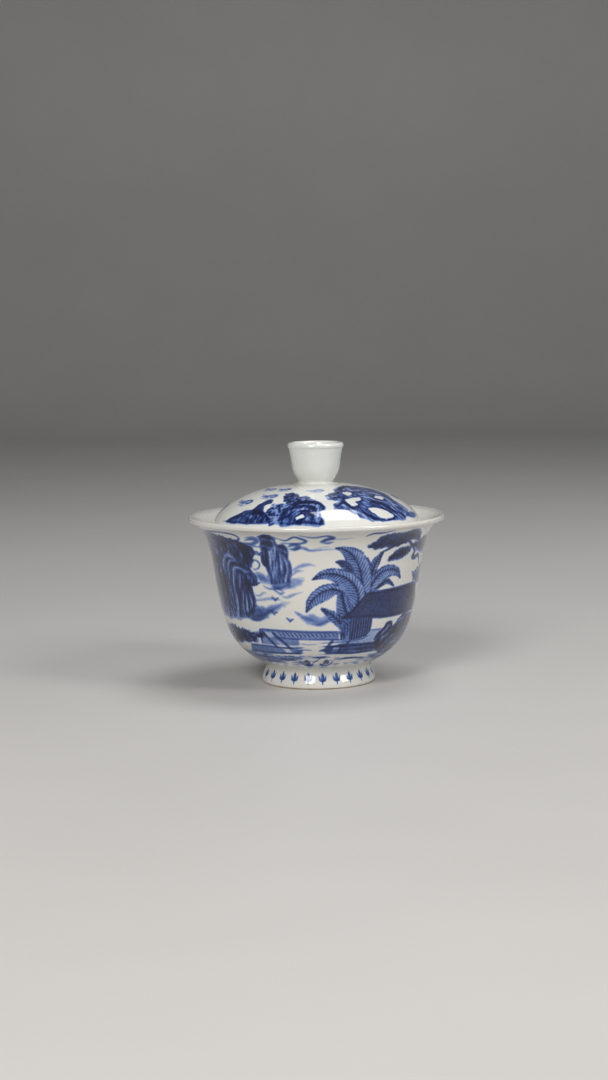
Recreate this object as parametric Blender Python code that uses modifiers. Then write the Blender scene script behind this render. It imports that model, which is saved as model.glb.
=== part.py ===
"""A lidded tea bowl (gaiwan) in glazed porcelain: a flared cup on a foot ring, and a domed lid with a cupped knob.

Every piece is turned about the Z axis. An outline is a list of (radius, height) points in metres. It runs over the
inside first and then down the outside, from top to bottom, and a Screw modifier turns it into one closed body.
The foot stands on Z = 0.
"""

from math import cos, radians, sin

import bmesh
import bpy
from mathutils import Vector
from mathutils.geometry import interpolate_bezier

# Driving dimensions, in metres.
RIM_RADIUS = 0.0500
RIM_TOP = 0.0655
LIP_RADIUS = 0.00105
WALL_AT_LIP = 2 * LIP_RADIUS
WALL_AT_FOOT = 0.0040
WAIST = (0.0396, 0.0400)
FOOT_HEIGHT = 0.0073
FOOT_WIDEST = 0.0221
FOOT_NECK = 0.0204
FOOT_CONTACT = (0.0184, 0.0212)
FOOT_INSIDE = 0.0177
LID_RADIUS = 0.0413
LID_EDGE_HEIGHT = 0.05965
LID_THICKNESS = 0.0021
DOME_TOP = 0.07775
KNOB_NECK = 0.00675
KNOB_RADIUS = 0.01095
KNOB_BEAD = 0.0012
KNOB_TOP = 0.0934
KNOB_FLOOR = 0.0842
GAP = 0.0003

COLLECTION = "gaiwan"
AXIS_TOLERANCE = 1e-6
LARGE_STEPS = 48
SMALL_STEPS = 32


def clear_scene():
    for old in list(bpy.data.objects):
        bpy.data.objects.remove(old, do_unlink=True)


def stretch(start, leaving, arriving, end, count):
    """A smooth stretch of outline from start to end, pulled towards the two handles between them."""
    corners = [Vector(point) for point in (start, leaving, arriving, end)]
    return [(p.x, p.y) for p in interpolate_bezier(*corners, count)]


def arc(centre, radius, first, last, count):
    """Points on a circle from the first angle to the last, in degrees. Zero points away from the axis."""
    angles = [radians(first + (last - first) * i / (count - 1)) for i in range(count)]
    return [(centre[0] + radius * cos(a), centre[1] + radius * sin(a)) for a in angles]


def inner_skin(outline, wall_at_start, wall_at_end):
    """The inside of a wall: each point of its outside moved in by a thickness that changes evenly along it."""
    skin = []
    for i, point in enumerate(outline):
        before = Vector(outline[max(i - 1, 0)])
        after = Vector(outline[min(i + 1, len(outline) - 1)])
        along = (after - before).normalized()
        inward = Vector((along.y, -along.x))
        wall = wall_at_start + (wall_at_end - wall_at_start) * i / (len(outline) - 1)
        skin.append(tuple(Vector(point) + wall * inward))
    return skin


def glaze(name, colour, roughness):
    material = bpy.data.materials.new(name)
    material.use_nodes = True
    shader = material.node_tree.nodes["Principled BSDF"]
    shader.inputs["Base Color"].default_value = (*colour, 1)
    shader.inputs["Roughness"].default_value = roughness
    shader.inputs["Metallic"].default_value = 0
    material.diffuse_color = (*colour, 1)
    return material


def turned(name, outline, seat, closed, steps, material, collection):
    """A body turned about Z from an outline, with its origin on the axis at the height of the seat."""
    mesh = bpy.data.meshes.new(name)
    profile = bmesh.new()
    points = [profile.verts.new((radius, 0, height - seat)) for radius, height in outline]
    for first, second in zip(points, points[1:]):
        profile.edges.new((first, second))
    if closed:
        profile.edges.new((points[-1], points[0]))
    profile.to_mesh(mesh)
    profile.free()
    piece = bpy.data.objects.new(name, mesh)
    piece.location = (0, 0, seat)
    collection.objects.link(piece)
    screw = piece.modifiers.new("turn", "SCREW")
    screw.axis = "Z"
    screw.steps = steps
    screw.render_steps = steps
    screw.use_smooth_shade = True
    screw.use_merge_vertices = True
    screw.merge_threshold = AXIS_TOLERANCE
    mesh.materials.append(material)
    mesh.shade_smooth()
    return piece


def bowl_outline():
    """The cup: a full belly over the foot, nearly straight flanks, and a wall that flares into a rolled lip."""
    lip_centre = (RIM_RADIUS - LIP_RADIUS, RIM_TOP - LIP_RADIUS)
    under_lip = -112
    lip = arc(lip_centre, LIP_RADIUS, under_lip + 180, under_lip, 7)
    rise = Vector((-sin(radians(under_lip)), cos(radians(under_lip))))
    flare_handle = tuple(Vector(lip[-1]) - 0.0072 * Vector((rise.x, -rise.y)))
    flare = stretch(lip[-1], flare_handle, (0.0409, 0.0475), WAIST, 9)
    base = (FOOT_NECK + GAP, FOOT_HEIGHT + GAP)
    belly = stretch(WAIST, (0.0364, 0.0215), (0.0342, 0.0140), base, 9)
    outside = flare + belly[1:]
    inside = inner_skin(outside, WALL_AT_LIP, WALL_AT_FOOT)[1:]
    inside.reverse()
    floor_height = base[1] + 0.0027
    floor = stretch((0, floor_height), (0.012, floor_height), (0.0172, 0.01035), inside[0], 5)
    return floor + inside[1:] + lip + outside[1:] + [(0, base[1])]


def foot_outline():
    """The ring under the cup: a drawn-in neck, a flank that spreads, and a flat bare face that it stands on."""
    neck = (FOOT_NECK + GAP, FOOT_HEIGHT)
    widest = (FOOT_WIDEST, 0.0014)
    flank = stretch(neck, (0.0199, 0.0052), (0.0219, 0.0036), widest, 8)
    toe = stretch(widest, (0.0222, 0.0007), (0.0219, 0.0002), (FOOT_CONTACT[1], 0), 4)
    return flank + toe[1:] + [(FOOT_CONTACT[0], 0), (FOOT_INSIDE, 0.0007), (FOOT_INSIDE, FOOT_HEIGHT)]


def lid_outline():
    """The lid: a dome that steepens to a rounded edge, with a flat place on top for the knob."""
    edge_radius = LID_THICKNESS / 2
    edge_centre = (LID_RADIUS - edge_radius, LID_EDGE_HEIGHT)
    top = (KNOB_NECK, DOME_TOP)
    dome = stretch(top, (0.0235, 0.0769), (0.0402, 0.0694), (LID_RADIUS, LID_EDGE_HEIGHT), 12)
    edge = arc(edge_centre, edge_radius, 0, -180, 5)
    inside = inner_skin(dome, LID_THICKNESS, LID_THICKNESS)
    under_top = (0, DOME_TOP - LID_THICKNESS)
    return [(0, DOME_TOP)] + dome + edge[1:] + inside[-2::-1] + [under_top]


def knob_outline():
    """The knob: a small cup on a drawn-in neck, with a bead round its rim."""
    bead_centre = (KNOB_RADIUS - KNOB_BEAD, KNOB_TOP - KNOB_BEAD)
    bead = arc(bead_centre, KNOB_BEAD, 165, -54, 8)
    hollow = stretch((0, KNOB_FLOOR), (0.0062, 0.0843), (0.0078, 0.0865), bead[0], 6)
    base = (KNOB_NECK, DOME_TOP + GAP)
    flank = stretch((0.01045, 0.0910), (0.0088, 0.0843), (0.0101, 0.0839), base, 7)
    return hollow + bead[1:] + flank + [(0, base[1])]


def main():
    clear_scene()
    parts = bpy.data.collections.new(COLLECTION)
    bpy.context.scene.collection.children.link(parts)

    painted_cup = glaze("painted_cup_glaze", (0.30, 0.33, 0.42), 0.12)
    painted_lid = glaze("painted_lid_glaze", (0.36, 0.40, 0.48), 0.12)
    white_foot = glaze("white_foot_glaze", (0.66, 0.62, 0.55), 0.15)
    white_knob = glaze("white_knob_glaze", (0.62, 0.61, 0.54), 0.15)

    seat = LID_EDGE_HEIGHT
    turned("bowl", bowl_outline(), FOOT_HEIGHT + GAP, False, LARGE_STEPS, painted_cup, parts)
    turned("foot_ring", foot_outline(), 0, True, LARGE_STEPS, white_foot, parts)
    lid = turned("lid", lid_outline(), seat, False, LARGE_STEPS, painted_lid, parts)
    knob = turned("lid_knob", knob_outline(), DOME_TOP + GAP, False, SMALL_STEPS, white_knob, parts)
    knob.parent = lid
    knob.location.z -= seat


main()
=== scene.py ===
# %% [markdown]
# # A painted porcelain gaiwan
#
# A gaiwan is a tea bowl with a lid. The potter turns a cup and a domed lid, lutes a foot ring under the
# one and a small cup-shaped knob on the other, paints the raw white body with cobalt oxide, and covers
# everything in a clear glaze. The lesson builds the pieces the same way: turned outlines first, then
# the brushwork, then the glaze.
#
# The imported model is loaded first, because every size below is taken from it.

# %% Load the frame
import math

import bpy
import numpy as np
from mathutils import Matrix, Vector


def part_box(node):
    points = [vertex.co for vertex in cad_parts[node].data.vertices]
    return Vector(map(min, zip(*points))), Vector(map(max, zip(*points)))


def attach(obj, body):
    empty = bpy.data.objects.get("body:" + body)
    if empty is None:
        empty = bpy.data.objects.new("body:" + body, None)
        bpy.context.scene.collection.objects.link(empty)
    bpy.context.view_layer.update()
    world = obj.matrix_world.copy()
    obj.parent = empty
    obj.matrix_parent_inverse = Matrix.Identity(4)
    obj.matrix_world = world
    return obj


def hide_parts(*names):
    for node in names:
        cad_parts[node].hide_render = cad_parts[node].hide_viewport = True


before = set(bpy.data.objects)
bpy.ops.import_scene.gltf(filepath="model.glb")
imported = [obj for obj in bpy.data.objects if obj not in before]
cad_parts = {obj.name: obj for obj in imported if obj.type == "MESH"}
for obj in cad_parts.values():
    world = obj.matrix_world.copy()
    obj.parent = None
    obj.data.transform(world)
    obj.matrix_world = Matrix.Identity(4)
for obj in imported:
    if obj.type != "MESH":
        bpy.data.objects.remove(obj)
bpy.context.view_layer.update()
print("frame loaded:", sorted(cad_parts))

# %% Sizes that the frame gives
bowl_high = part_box("bowl")[1]
foot_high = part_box("foot_ring")[1]
lid_low, lid_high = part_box("lid")
knob_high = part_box("lid_knob")[1]
RIM_RADIUS = bowl_high.x
RIM_TOP = bowl_high.z
FOOT_TOP = foot_high.z
FOOT_WIDEST = foot_high.x
LID_RADIUS = lid_high.x
DOME_TOP = lid_high.z
KNOB_RADIUS = knob_high.x
KNOB_TOP = knob_high.z
MM = 0.001
print("rim radius", round(RIM_RADIUS, 5), "height", round(KNOB_TOP, 5))

# %% [markdown]
# ## The camera
#
# A camera 750 mm away and 140 mm above the table, tilted down by six and a half degrees, looks slightly
# down on the cup. Standing that far off keeps the round rim a slim ellipse. The camera is rolled by
# less than a degree, as one held in the hand is. Its three directions are worked out here, because that
# says exactly which way up the picture is.

# %% Camera
CAMERA_DISTANCE = 0.750
CAMERA_HEIGHT = 0.1404
CAMERA_PITCH = math.radians(6.48)
CAMERA_YAW = math.radians(-0.38)
CAMERA_ROLL = math.radians(0.80)
LENS_MM = 64.5
SENSOR_MM = 36
NEAREST_SEEN = 0.01

forward = Vector((math.sin(CAMERA_YAW), math.cos(CAMERA_YAW), 0)) * math.cos(CAMERA_PITCH)
forward.z = -math.sin(CAMERA_PITCH)
level_right = Vector((math.cos(CAMERA_YAW), -math.sin(CAMERA_YAW), 0))
level_up = level_right.cross(forward)
right = level_right * math.cos(CAMERA_ROLL) - level_up * math.sin(CAMERA_ROLL)
up = level_right * math.sin(CAMERA_ROLL) + level_up * math.cos(CAMERA_ROLL)

bpy.ops.object.select_all(action="DESELECT")
bpy.ops.object.camera_add(location=(0, -CAMERA_DISTANCE, CAMERA_HEIGHT))
camera = bpy.context.object
camera.name = "studio_camera"
camera.rotation_mode = "QUATERNION"
camera.rotation_quaternion = Matrix((right, up, -forward)).transposed().to_quaternion()
camera.data.lens = LENS_MM
camera.data.sensor_width = SENSOR_MM
camera.data.clip_start = NEAREST_SEEN
bpy.context.scene.camera = camera
print("camera looks along", [round(value, 3) for value in forward])

# %% [markdown]
# ## Turning a piece
#
# A potter holds a profile against the spinning clay. Here each profile is drawn as a chain of Bezier
# stretches in the plane Y = 0, turned into a chain of edges, and swept round the Z axis by a Screw
# modifier. The Spin operator would do the same, but it slows down as the mesh grows. Each piece is made
# as two half turns: the half with the main painting gets more columns than the half behind, since the
# brushwork is kept on the vertices.

# %% Bezier stretches
SEAM_MERGE = 2e-6


def stretch(start, leaving, arriving, end, steps):
    """One Bezier stretch of an outline, as (radius, height) points in millimetres and a number of
    edges."""
    return (start, leaving, arriving, end, steps)


def straight(start, end, steps):
    """A straight stretch, with its handles a third of the way in from each end."""
    third = [tuple(a + (b - a) * share for a, b in zip(start, end)) for share in (1 / 3, 2 / 3)]
    return stretch(start, third[0], third[1], end, steps)


def bend(centre, radius, first, last, steps):
    """Stretches that follow a circle from one angle to another, in degrees, in pieces of 90 degrees at
    most."""
    parts = max(1, math.ceil(abs(last - first) / 90))
    each = math.radians(last - first) / parts
    pull = 4 / 3 * math.tan(each / 4) * radius
    found = []
    for i in range(parts):
        a = math.radians(first) + each * i
        b = a + each
        start = (centre[0] + radius * math.cos(a), centre[1] + radius * math.sin(a))
        end = (centre[0] + radius * math.cos(b), centre[1] + radius * math.sin(b))
        leaving = (start[0] - pull * math.sin(a), start[1] + pull * math.cos(a))
        arriving = (end[0] + pull * math.sin(b), end[1] - pull * math.cos(b))
        found.append(stretch(start, leaving, arriving, end, max(1, round(steps / parts))))
    return found


def bezier_points(piece_of_outline):
    """The points of one stretch, as an array of (radius, height), for measuring along the surface."""
    start, leaving, arriving, end, steps = piece_of_outline
    t = np.linspace(0, 1, steps + 1)[:, None]
    corners = [np.array(corner, float) for corner in (start, leaving, arriving, end)]
    weights = ((1 - t) ** 3, 3 * (1 - t) ** 2 * t, 3 * (1 - t) * t**2, t**3)
    return sum(weight * corner for weight, corner in zip(weights, corners))


# %% Turning an outline
def draw_outline(name, outline):
    """Draws the outline with Bezier curves and leaves it as one chain of edges, ready to turn."""
    bpy.ops.object.select_all(action="DESELECT")
    drawn = []
    for start, leaving, arriving, end, steps in outline:
        bpy.ops.curve.primitive_bezier_curve_add(location=(0, 0, 0))
        curve = bpy.context.object
        curve.data.resolution_u = steps
        first, last = curve.data.splines[0].bezier_points
        for point in (first, last):
            point.handle_left_type = "FREE"
            point.handle_right_type = "FREE"
        first.co = Vector((start[0], 0, start[1])) * MM
        first.handle_right = Vector((leaving[0], 0, leaving[1])) * MM
        first.handle_left = first.co
        last.co = Vector((end[0], 0, end[1])) * MM
        last.handle_left = Vector((arriving[0], 0, arriving[1])) * MM
        last.handle_right = last.co
        drawn.append(curve)
    for curve in drawn:
        curve.select_set(True)
    bpy.context.view_layer.objects.active = drawn[0]
    bpy.ops.object.convert(target="MESH")
    bpy.ops.object.join()
    chain = bpy.context.object
    chain.name = name
    chain.data.name = name
    bpy.ops.object.mode_set(mode="EDIT")
    bpy.ops.mesh.select_all(action="SELECT")
    bpy.ops.mesh.remove_doubles(threshold=SEAM_MERGE)
    bpy.ops.object.mode_set(mode="OBJECT")
    return chain


def turn(name, outline, back_steps, front_steps):
    """Turns an outline about the Z axis: half a turn round the back in back_steps, and one round the
    front."""
    halves = []
    for steps, way in ((back_steps, 1), (front_steps, -1)):
        half = draw_outline(name, outline)
        turning = half.modifiers.new("turning", "SCREW")
        turning.angle = way * math.pi
        turning.steps = steps
        turning.render_steps = steps
        turning.use_merge_vertices = False
        bpy.ops.object.modifier_apply(modifier=turning.name)
        halves.append(half)
    bpy.ops.object.select_all(action="DESELECT")
    for half in halves:
        half.select_set(True)
    bpy.context.view_layer.objects.active = halves[0]
    bpy.ops.object.join()
    piece = bpy.context.object
    bpy.ops.object.mode_set(mode="EDIT")
    bpy.ops.mesh.select_all(action="SELECT")
    bpy.ops.mesh.remove_doubles(threshold=SEAM_MERGE)
    bpy.ops.mesh.normals_make_consistent(inside=False)
    bpy.ops.object.mode_set(mode="OBJECT")
    bpy.ops.object.shade_smooth()
    front = sum(1 for vertex in piece.data.vertices if vertex.co.y < 0)
    print(name, len(piece.data.polygons), "faces,", front, "of", len(piece.data.vertices), "points in front")
    return piece


# %% [markdown]
# ## The bowl
#
# The cup has a full belly, nearly straight flanks and a wide flare with a rolled lip. Its outside is
# one run of small, even faces for the painting, and its inside needs only a few rows. Under the belly
# it turns in to meet the foot ring with the soft hollow line that glaze leaves in a luted joint.

# %% Bowl
LIP_RADIUS = 1.05
rim_mm = RIM_RADIUS / MM
rim_top_mm = RIM_TOP / MM
foot_top_mm = FOOT_TOP / MM
lip_centre = (rim_mm - LIP_RADIUS, rim_top_mm - LIP_RADIUS)
UNDER_LIP = -112

lip = bend(lip_centre, LIP_RADIUS, UNDER_LIP + 180, UNDER_LIP, 8)
lip_inside = lip[0][0]
lip_outside = lip[-1][3]
bowl_inside = [
    straight((0, 10.3), (8.0, 10.32), 1),
    stretch((8.0, 10.32), (14.0, 10.4), (16.5, 10.4), (19.0, 11.2), 2),
    stretch((19.0, 11.2), (29.0, 14.6), (32.8, 21.7), (36.6, 40.5), 7),
    stretch((36.6, 40.5), (37.5, 45.2), (39.4, 53.9), (40.85, 57.75), 3),
    stretch((40.85, 57.75), (42.0, 60.6), (44.6, 63.5), lip_inside, 4),
]
wall_end = (20.9, foot_top_mm + 0.45)
bowl_wall = [
    stretch(lip_outside, (41.9, 60.8), (40.9, 47.5), (39.6, 40.0), 76),
    stretch((39.6, 40.0), (36.4, 21.5), (34.2, 14.0), wall_end, 89),
]
joint_out = (19.4, foot_top_mm - 0.1)
joint_in = (17.9, foot_top_mm - 0.1)
bowl_base = [
    stretch(wall_end, (20.3, foot_top_mm + 0.1), (19.9, foot_top_mm - 0.05), joint_out, 2),
    straight(joint_out, joint_in, 1),
    stretch(joint_in, (15.0, foot_top_mm + 0.3), (10.0, foot_top_mm + 0.4), (0, foot_top_mm + 0.4), 3),
]
bowl = turn("porcelain_bowl", bowl_inside + lip + bowl_wall + bowl_base, 190, 320)

# %% [markdown]
# ## The foot ring
#
# The foot is drawn in under the bowl, spreads as it goes down and is rounded off just above the table.
# Its top swells out into the belly like the fillet of glaze in the real joint. The face that it stands
# on is wiped clean of glaze before firing, so it stays bare clay.

# %% Foot ring
foot_wide_mm = FOOT_WIDEST / MM
collar = (19.0, foot_top_mm - 0.15)
fillet = (22.6, foot_top_mm + 1.25)
narrowest = (20.62, foot_top_mm - 0.9)
widest = (foot_wide_mm, 1.5)
foot_outside = [
    stretch(collar, (19.8, foot_top_mm - 0.1), (21.4, foot_top_mm + 1.1), fillet, 3),
    stretch(fillet, (21.6, foot_top_mm + 0.6), (20.9, foot_top_mm + 0.2), narrowest, 5),
    stretch(narrowest, (20.3, 5.0), (21.7, 3.8), widest, 26),
    stretch(widest, (foot_wide_mm + 0.1, 0.8), (22.0, 0.2), (21.5, 0), 6),
]
foot_inside = [
    straight((21.5, 0), (18.5, 0), 2),
    stretch((18.5, 0), (18.1, 0), (17.8, 0.3), (17.75, 0.8), 4),
    straight((17.75, 0.8), (17.75, foot_top_mm - 0.4), 3),
    straight((17.75, foot_top_mm - 0.4), collar, 2),
]
foot = turn("foot_ring_turned", foot_outside + foot_inside, 240, 360)

# %% [markdown]
# ## The lid and its knob
#
# The dome is nearly flat on top, steepens towards its edge and ends in a rounded lip that sits on the
# inside of the flare. The knob is a small cup on a narrow neck. A bead runs round its rim, and a thin
# fillet joins it to the dome.

# %% Lid
LID_EDGE = 1.05
lid_mm = LID_RADIUS / MM
dome_mm = DOME_TOP / MM
lid_edge_height = lid_low.z / MM + LID_EDGE
lid_outside = [
    straight((0, dome_mm - 0.02), (5.5, dome_mm - 0.02), 1),
    stretch((5.5, dome_mm - 0.02), (24.2, dome_mm - 0.85), (40.4, 69.4), (lid_mm, lid_edge_height), 140),
]
lid_edge = bend((lid_mm - LID_EDGE, lid_edge_height), LID_EDGE, 0, -180, 8)
lid_inside = [stretch((lid_mm - 2 * LID_EDGE, lid_edge_height), (38.9, 66.4), (25.5, dome_mm - 2.1),
                      (0, dome_mm - 2.1), 10)]
lid = turn("porcelain_lid", lid_outside + lid_edge + lid_inside, 220, 360)

# %% Knob
KNOB_BEAD = 1.2
knob_mm = KNOB_RADIUS / MM
knob_top_mm = KNOB_TOP / MM
bead_centre = (knob_mm - KNOB_BEAD, knob_top_mm - KNOB_BEAD)
bead = bend(bead_centre, KNOB_BEAD, 165, -54, 14)
knob_outline = [
    stretch((0, 84.2), (4.6, 84.2), (8.2, 84.6), bead[0][0], 14),
    *bead,
    stretch(bead[-1][3], (10.4, 91.0), (10.45, 91.0), (10.4, 90.8), 2),
    stretch((10.4, 90.8), (8.9, 84.3), (10.1, 83.6), (6.95, 78.6), 18),
    stretch((6.95, 78.6), (6.7, 78.15), (7.2, dome_mm - 0.1), (9.6, dome_mm - 0.28), 5),
    straight((9.6, dome_mm - 0.28), (5.0, dome_mm - 0.5), 2),
    straight((5.0, dome_mm - 0.5), (0, dome_mm - 0.5), 1),
]
knob = turn("lid_knob_turned", knob_outline, 64, 96)

# %% [markdown]
# ## A ground for the brush
#
# Cobalt is brushed on the dry white body before glazing. To plan such a painting, the outside of each
# piece is unrolled flat: rows run along the wall a tenth of a millimetre apart, and columns run round
# it. Every brush mark is laid on that sheet as a depth of pigment. The sheet is then read back onto the
# vertices of the piece, and the material turns depth into colour. An image texture would be the other
# way, but this keeps the whole painting in the mesh, so it follows the surface wherever the piece goes.
#
# Roof tiles and leaf veins are finer than the mesh. For them the sheet has two more layers: "comb"
# counts the lines across a ruled area, and "lines" says how strong they are. The glaze material draws
# the lines themselves.
#
# A place on the sheet is an azimuth in degrees, 0 at the front and positive to the right, and a level:
# the height in millimetres on the bowl and foot, and the radius in millimetres on the lid.

# %% Unrolled surface
COLUMNS_PER_DEGREE = 8
ROW_MM = 0.1
TINY = 1e-9
FAR_MM = 1e3


def unroll(wall, level_is):
    """Lays the outside of a turned piece out flat, with no pigment on it yet."""
    points = np.vstack([bezier_points(part) for part in wall])
    along = np.concatenate([[0], np.cumsum(np.hypot(*np.diff(points, axis=0).T))])
    rows = np.arange(int(along[-1] / ROW_MM))
    radius = np.interp(rows * ROW_MM, along, points[:, 0])
    height = np.interp(rows * ROW_MM, along, points[:, 1])
    level = height if level_is == "height" else radius
    blank = np.zeros((len(rows), 360 * COLUMNS_PER_DEGREE), np.float32)
    sheet = {"radius": radius, "height": height, "level": level, "mottle": {}}
    sheet.update(ink=blank, comb=blank.copy(), lines=blank.copy())
    return sheet


def row_of(ground, level):
    """The row at a level, whichever way the levels run."""
    levels = ground["level"]
    rows = np.arange(len(levels))
    if levels[0] > levels[-1]:
        return np.interp(level, levels[::-1], rows[::-1])
    return np.interp(level, levels, rows)


def place(ground, points):
    """Turns (azimuth, level) points into (column, row) places on the sheet."""
    points = np.array(points, float)
    return np.stack([points[:, 0] * COLUMNS_PER_DEGREE, row_of(ground, points[:, 1])], axis=1)


# %% Uneven pigment
MOTTLES = {"fine": (0.35, 0.35), "mid": (1.1, 1.3), "coarse": (3.6, 4.5), "broad": (0.7, 7.0)}


def mottle(ground, kind):
    """Smooth noise from 0 to 1 over the sheet, which wraps round. MOTTLES gives the height and width of
    its cells in millimetres."""
    if kind not in ground["mottle"]:
        high, wide = MOTTLES[kind]
        rows, columns = ground["ink"].shape
        across = int(2 * math.pi * ground["radius"].mean() / wide)
        down = int(rows * ROW_MM / high) + 2
        dice = np.random.default_rng(sum(map(ord, kind))).random((down, across))
        row_at = np.arange(rows) * ROW_MM / high
        column_at = np.arange(columns) * across / columns
        r, c = row_at.astype(int), column_at.astype(int)
        fr, fc = (row_at - r)[:, None], (column_at - c)[None, :]
        fr, fc = fr * fr * (3 - 2 * fr), fc * fc * (3 - 2 * fc)
        top = dice[r][:, c] * (1 - fc) + dice[r][:, (c + 1) % across] * fc
        bottom = dice[r + 1][:, c] * (1 - fc) + dice[r + 1][:, (c + 1) % across] * fc
        ground["mottle"][kind] = (top * (1 - fr) + bottom * fr).astype(np.float32)
    return ground["mottle"][kind]


def through(points, each=6):
    """A smooth line through given points (a Catmull-Rom spline), as a brush would follow them."""
    points = np.array(points, float)
    if len(points) < 3:
        return points[0] + (points[-1] - points[0]) * np.linspace(0, 1, each + 1)[:, None]
    padded = np.vstack([2 * points[0] - points[1], points, 2 * points[-1] - points[-2]])
    t = np.linspace(0, 1, each, endpoint=False)[:, None]
    found = []
    for a, b, c, d in zip(padded, padded[1:], padded[2:], padded[3:]):
        found.append(0.5 * (2 * b + (c - a) * t + (2 * a - 5 * b + 4 * c - d) * t**2
                            + (3 * b - a - 3 * c + d) * t**3))
    return np.vstack([*found, points[-1:]])


def bounds_of(ground, spots, margin):
    """The rows and columns of the sheet round these places, and the millimetres that a column spans."""
    rows = ground["ink"].shape[0]
    first_row = max(0, int(spots[:, 1].min() - margin / ROW_MM))
    last_row = min(rows, int(spots[:, 1].max() + margin / ROW_MM) + 2)
    r = np.arange(min(first_row, rows - 1), max(last_row, first_row + 1))
    span = ground["radius"][r] * math.radians(1 / COLUMNS_PER_DEGREE)
    extra = margin / max(span.min(), 0.01)
    c = np.arange(int(spots[:, 0].min() - extra), int(spots[:, 0].max() + extra) + 2)
    return r, c, span[:, None]


def lay(ground, r, c, cover, ink, opaque=False):
    """Adds pigment, or with opaque sets its depth where the mark covers what is under it."""
    at = np.ix_(r, c % ground["ink"].shape[1])
    if opaque:
        ground["ink"][at] = ground["ink"][at] * (1 - cover) + ink * cover
        ground["lines"][at] *= 1 - cover
    else:
        ground["ink"][at] += ink * cover


JUST_COVERED = 0.02


def rule(ground, r, c, cover, comb, strength):
    """Marks an area for fine even lines, which the glaze material draws wherever the comb passes a half
    number. Strength is above 0 for dark lines and below 0 for light ones. The comb runs on past the
    edge over blank ground, so that no stray line shows there."""
    at = np.ix_(r, c % ground["ink"].shape[1])
    free = (cover > JUST_COVERED) | (ground["lines"][at] == 0)
    ground["comb"][at] = np.where(free, comb, ground["comb"][at])
    ground["lines"][at] = np.where(cover > JUST_COVERED, cover * strength, ground["lines"][at])


def masked(ground, outline, marks, edge=0.5):
    """Lays marks, a function of the sheet, and keeps them only inside an outline."""
    r, c, depth = depth_inside(ground, outline, edge)
    at = np.ix_(r, c % ground["ink"].shape[1])
    before = ground["ink"].copy()
    marks(ground)
    kept = np.clip(depth / edge + 0.5, 0, 1)
    trimmed = before.copy()
    trimmed[at] = before[at] * (1 - kept) + ground["ink"][at] * kept
    ground["ink"][:] = trimmed


# %% A brush stroke
def stroke(ground, points, width, ink, soft=0.2, ends=(0.2, 0.3), dry=0.0, opaque=False):
    """A stroke along given points. Its width may be a list, it tapers at its ends, and a dry
    brush breaks it up."""
    spots = place(ground, through(points))
    share = np.linspace(0, 1, len(spots))
    widths = np.interp(share, np.linspace(0, 1, len(np.atleast_1d(width))), np.atleast_1d(width))
    taper = np.minimum(share / max(ends[0], 1e-3), 1) ** 0.6 * np.minimum((1 - share) / max(ends[1],
            1e-3), 1) ** 0.6
    widths = widths * (0.15 + 0.85 * taper)
    r, c, span = bounds_of(ground, spots, widths.max() / 2 + soft)
    cover = np.zeros((len(r), len(c)), np.float32)
    for i in range(len(spots) - 1):
        near = spots[i : i + 2]
        reach = max(widths[i : i + 2]) / 2 + soft
        rows = slice(max(0, int(near[:, 1].min() - reach / ROW_MM) - r[0]),
                     int(near[:, 1].max() + reach / ROW_MM) - r[0] + 2)
        extra = reach / max(float(span[rows].min() if span[rows].size else 0.1), 0.01)
        columns = slice(max(0, int(near[:, 0].min() - extra) - c[0]),
                        int(near[:, 0].max() + extra) - c[0] + 2)
        if not span[rows].size or not len(c[columns]):
            continue
        x = (c[None, columns] - near[0, 0]) * span[rows]
        y = (r[rows, None] - near[0, 1]) * ROW_MM
        ex = (near[1, 0] - near[0, 0]) * span[rows]
        ey = (near[1, 1] - near[0, 1]) * ROW_MM
        s = np.clip((x * ex + y * ey) / (ex**2 + ey**2 + TINY), 0, 1)
        away = np.hypot(x - s * ex, y - s * ey)
        wide = widths[i] + (widths[i + 1] - widths[i]) * s
        cover[rows, columns] = np.maximum(cover[rows, columns], np.clip((wide / 2 - away) / soft + 0.5, 0, 1))
    if dry:
        grain = mottle(ground, "fine")[np.ix_(r, c % ground["ink"].shape[1])]
        cover *= np.clip(1 - dry * 2.2 * grain, 0, 1)
    lay(ground, r, c, cover, ink, opaque)


# %% A wash
# How the square of a column's width compares with that of a row, near the rim.
COLUMN_TO_ROW = 0.76


def depth_inside(ground, outline, margin):
    """How far each place is inside a closed outline, in millimetres, and negative outside it."""
    spots = place(ground, outline)
    r, c, span = bounds_of(ground, spots, margin)
    rows, columns = r[:, None].astype(float), c[None, :].astype(float)
    nearest = np.full((len(r), len(c)), FAR_MM)
    within = np.zeros((len(r), len(c)), bool)
    for a, b in zip(spots, np.roll(spots, -1, axis=0)):
        x, y = (columns - a[0]) * span, (rows - a[1]) * ROW_MM
        ex, ey = (b[0] - a[0]) * span, (b[1] - a[1]) * ROW_MM
        s = np.clip((x * ex + y * ey) / (ex**2 + ey**2 + TINY), 0, 1)
        nearest = np.minimum(nearest, np.hypot(x - s * ex, y - s * ey))
        if a[1] != b[1]:
            crosses = (rows >= min(a[1], b[1])) & (rows < max(a[1], b[1]))
            within ^= crosses & (columns < a[0] + (rows - a[1]) / (b[1] - a[1]) * (b[0] - a[0]))
    return r, c, np.where(within, nearest, -nearest)


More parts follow.
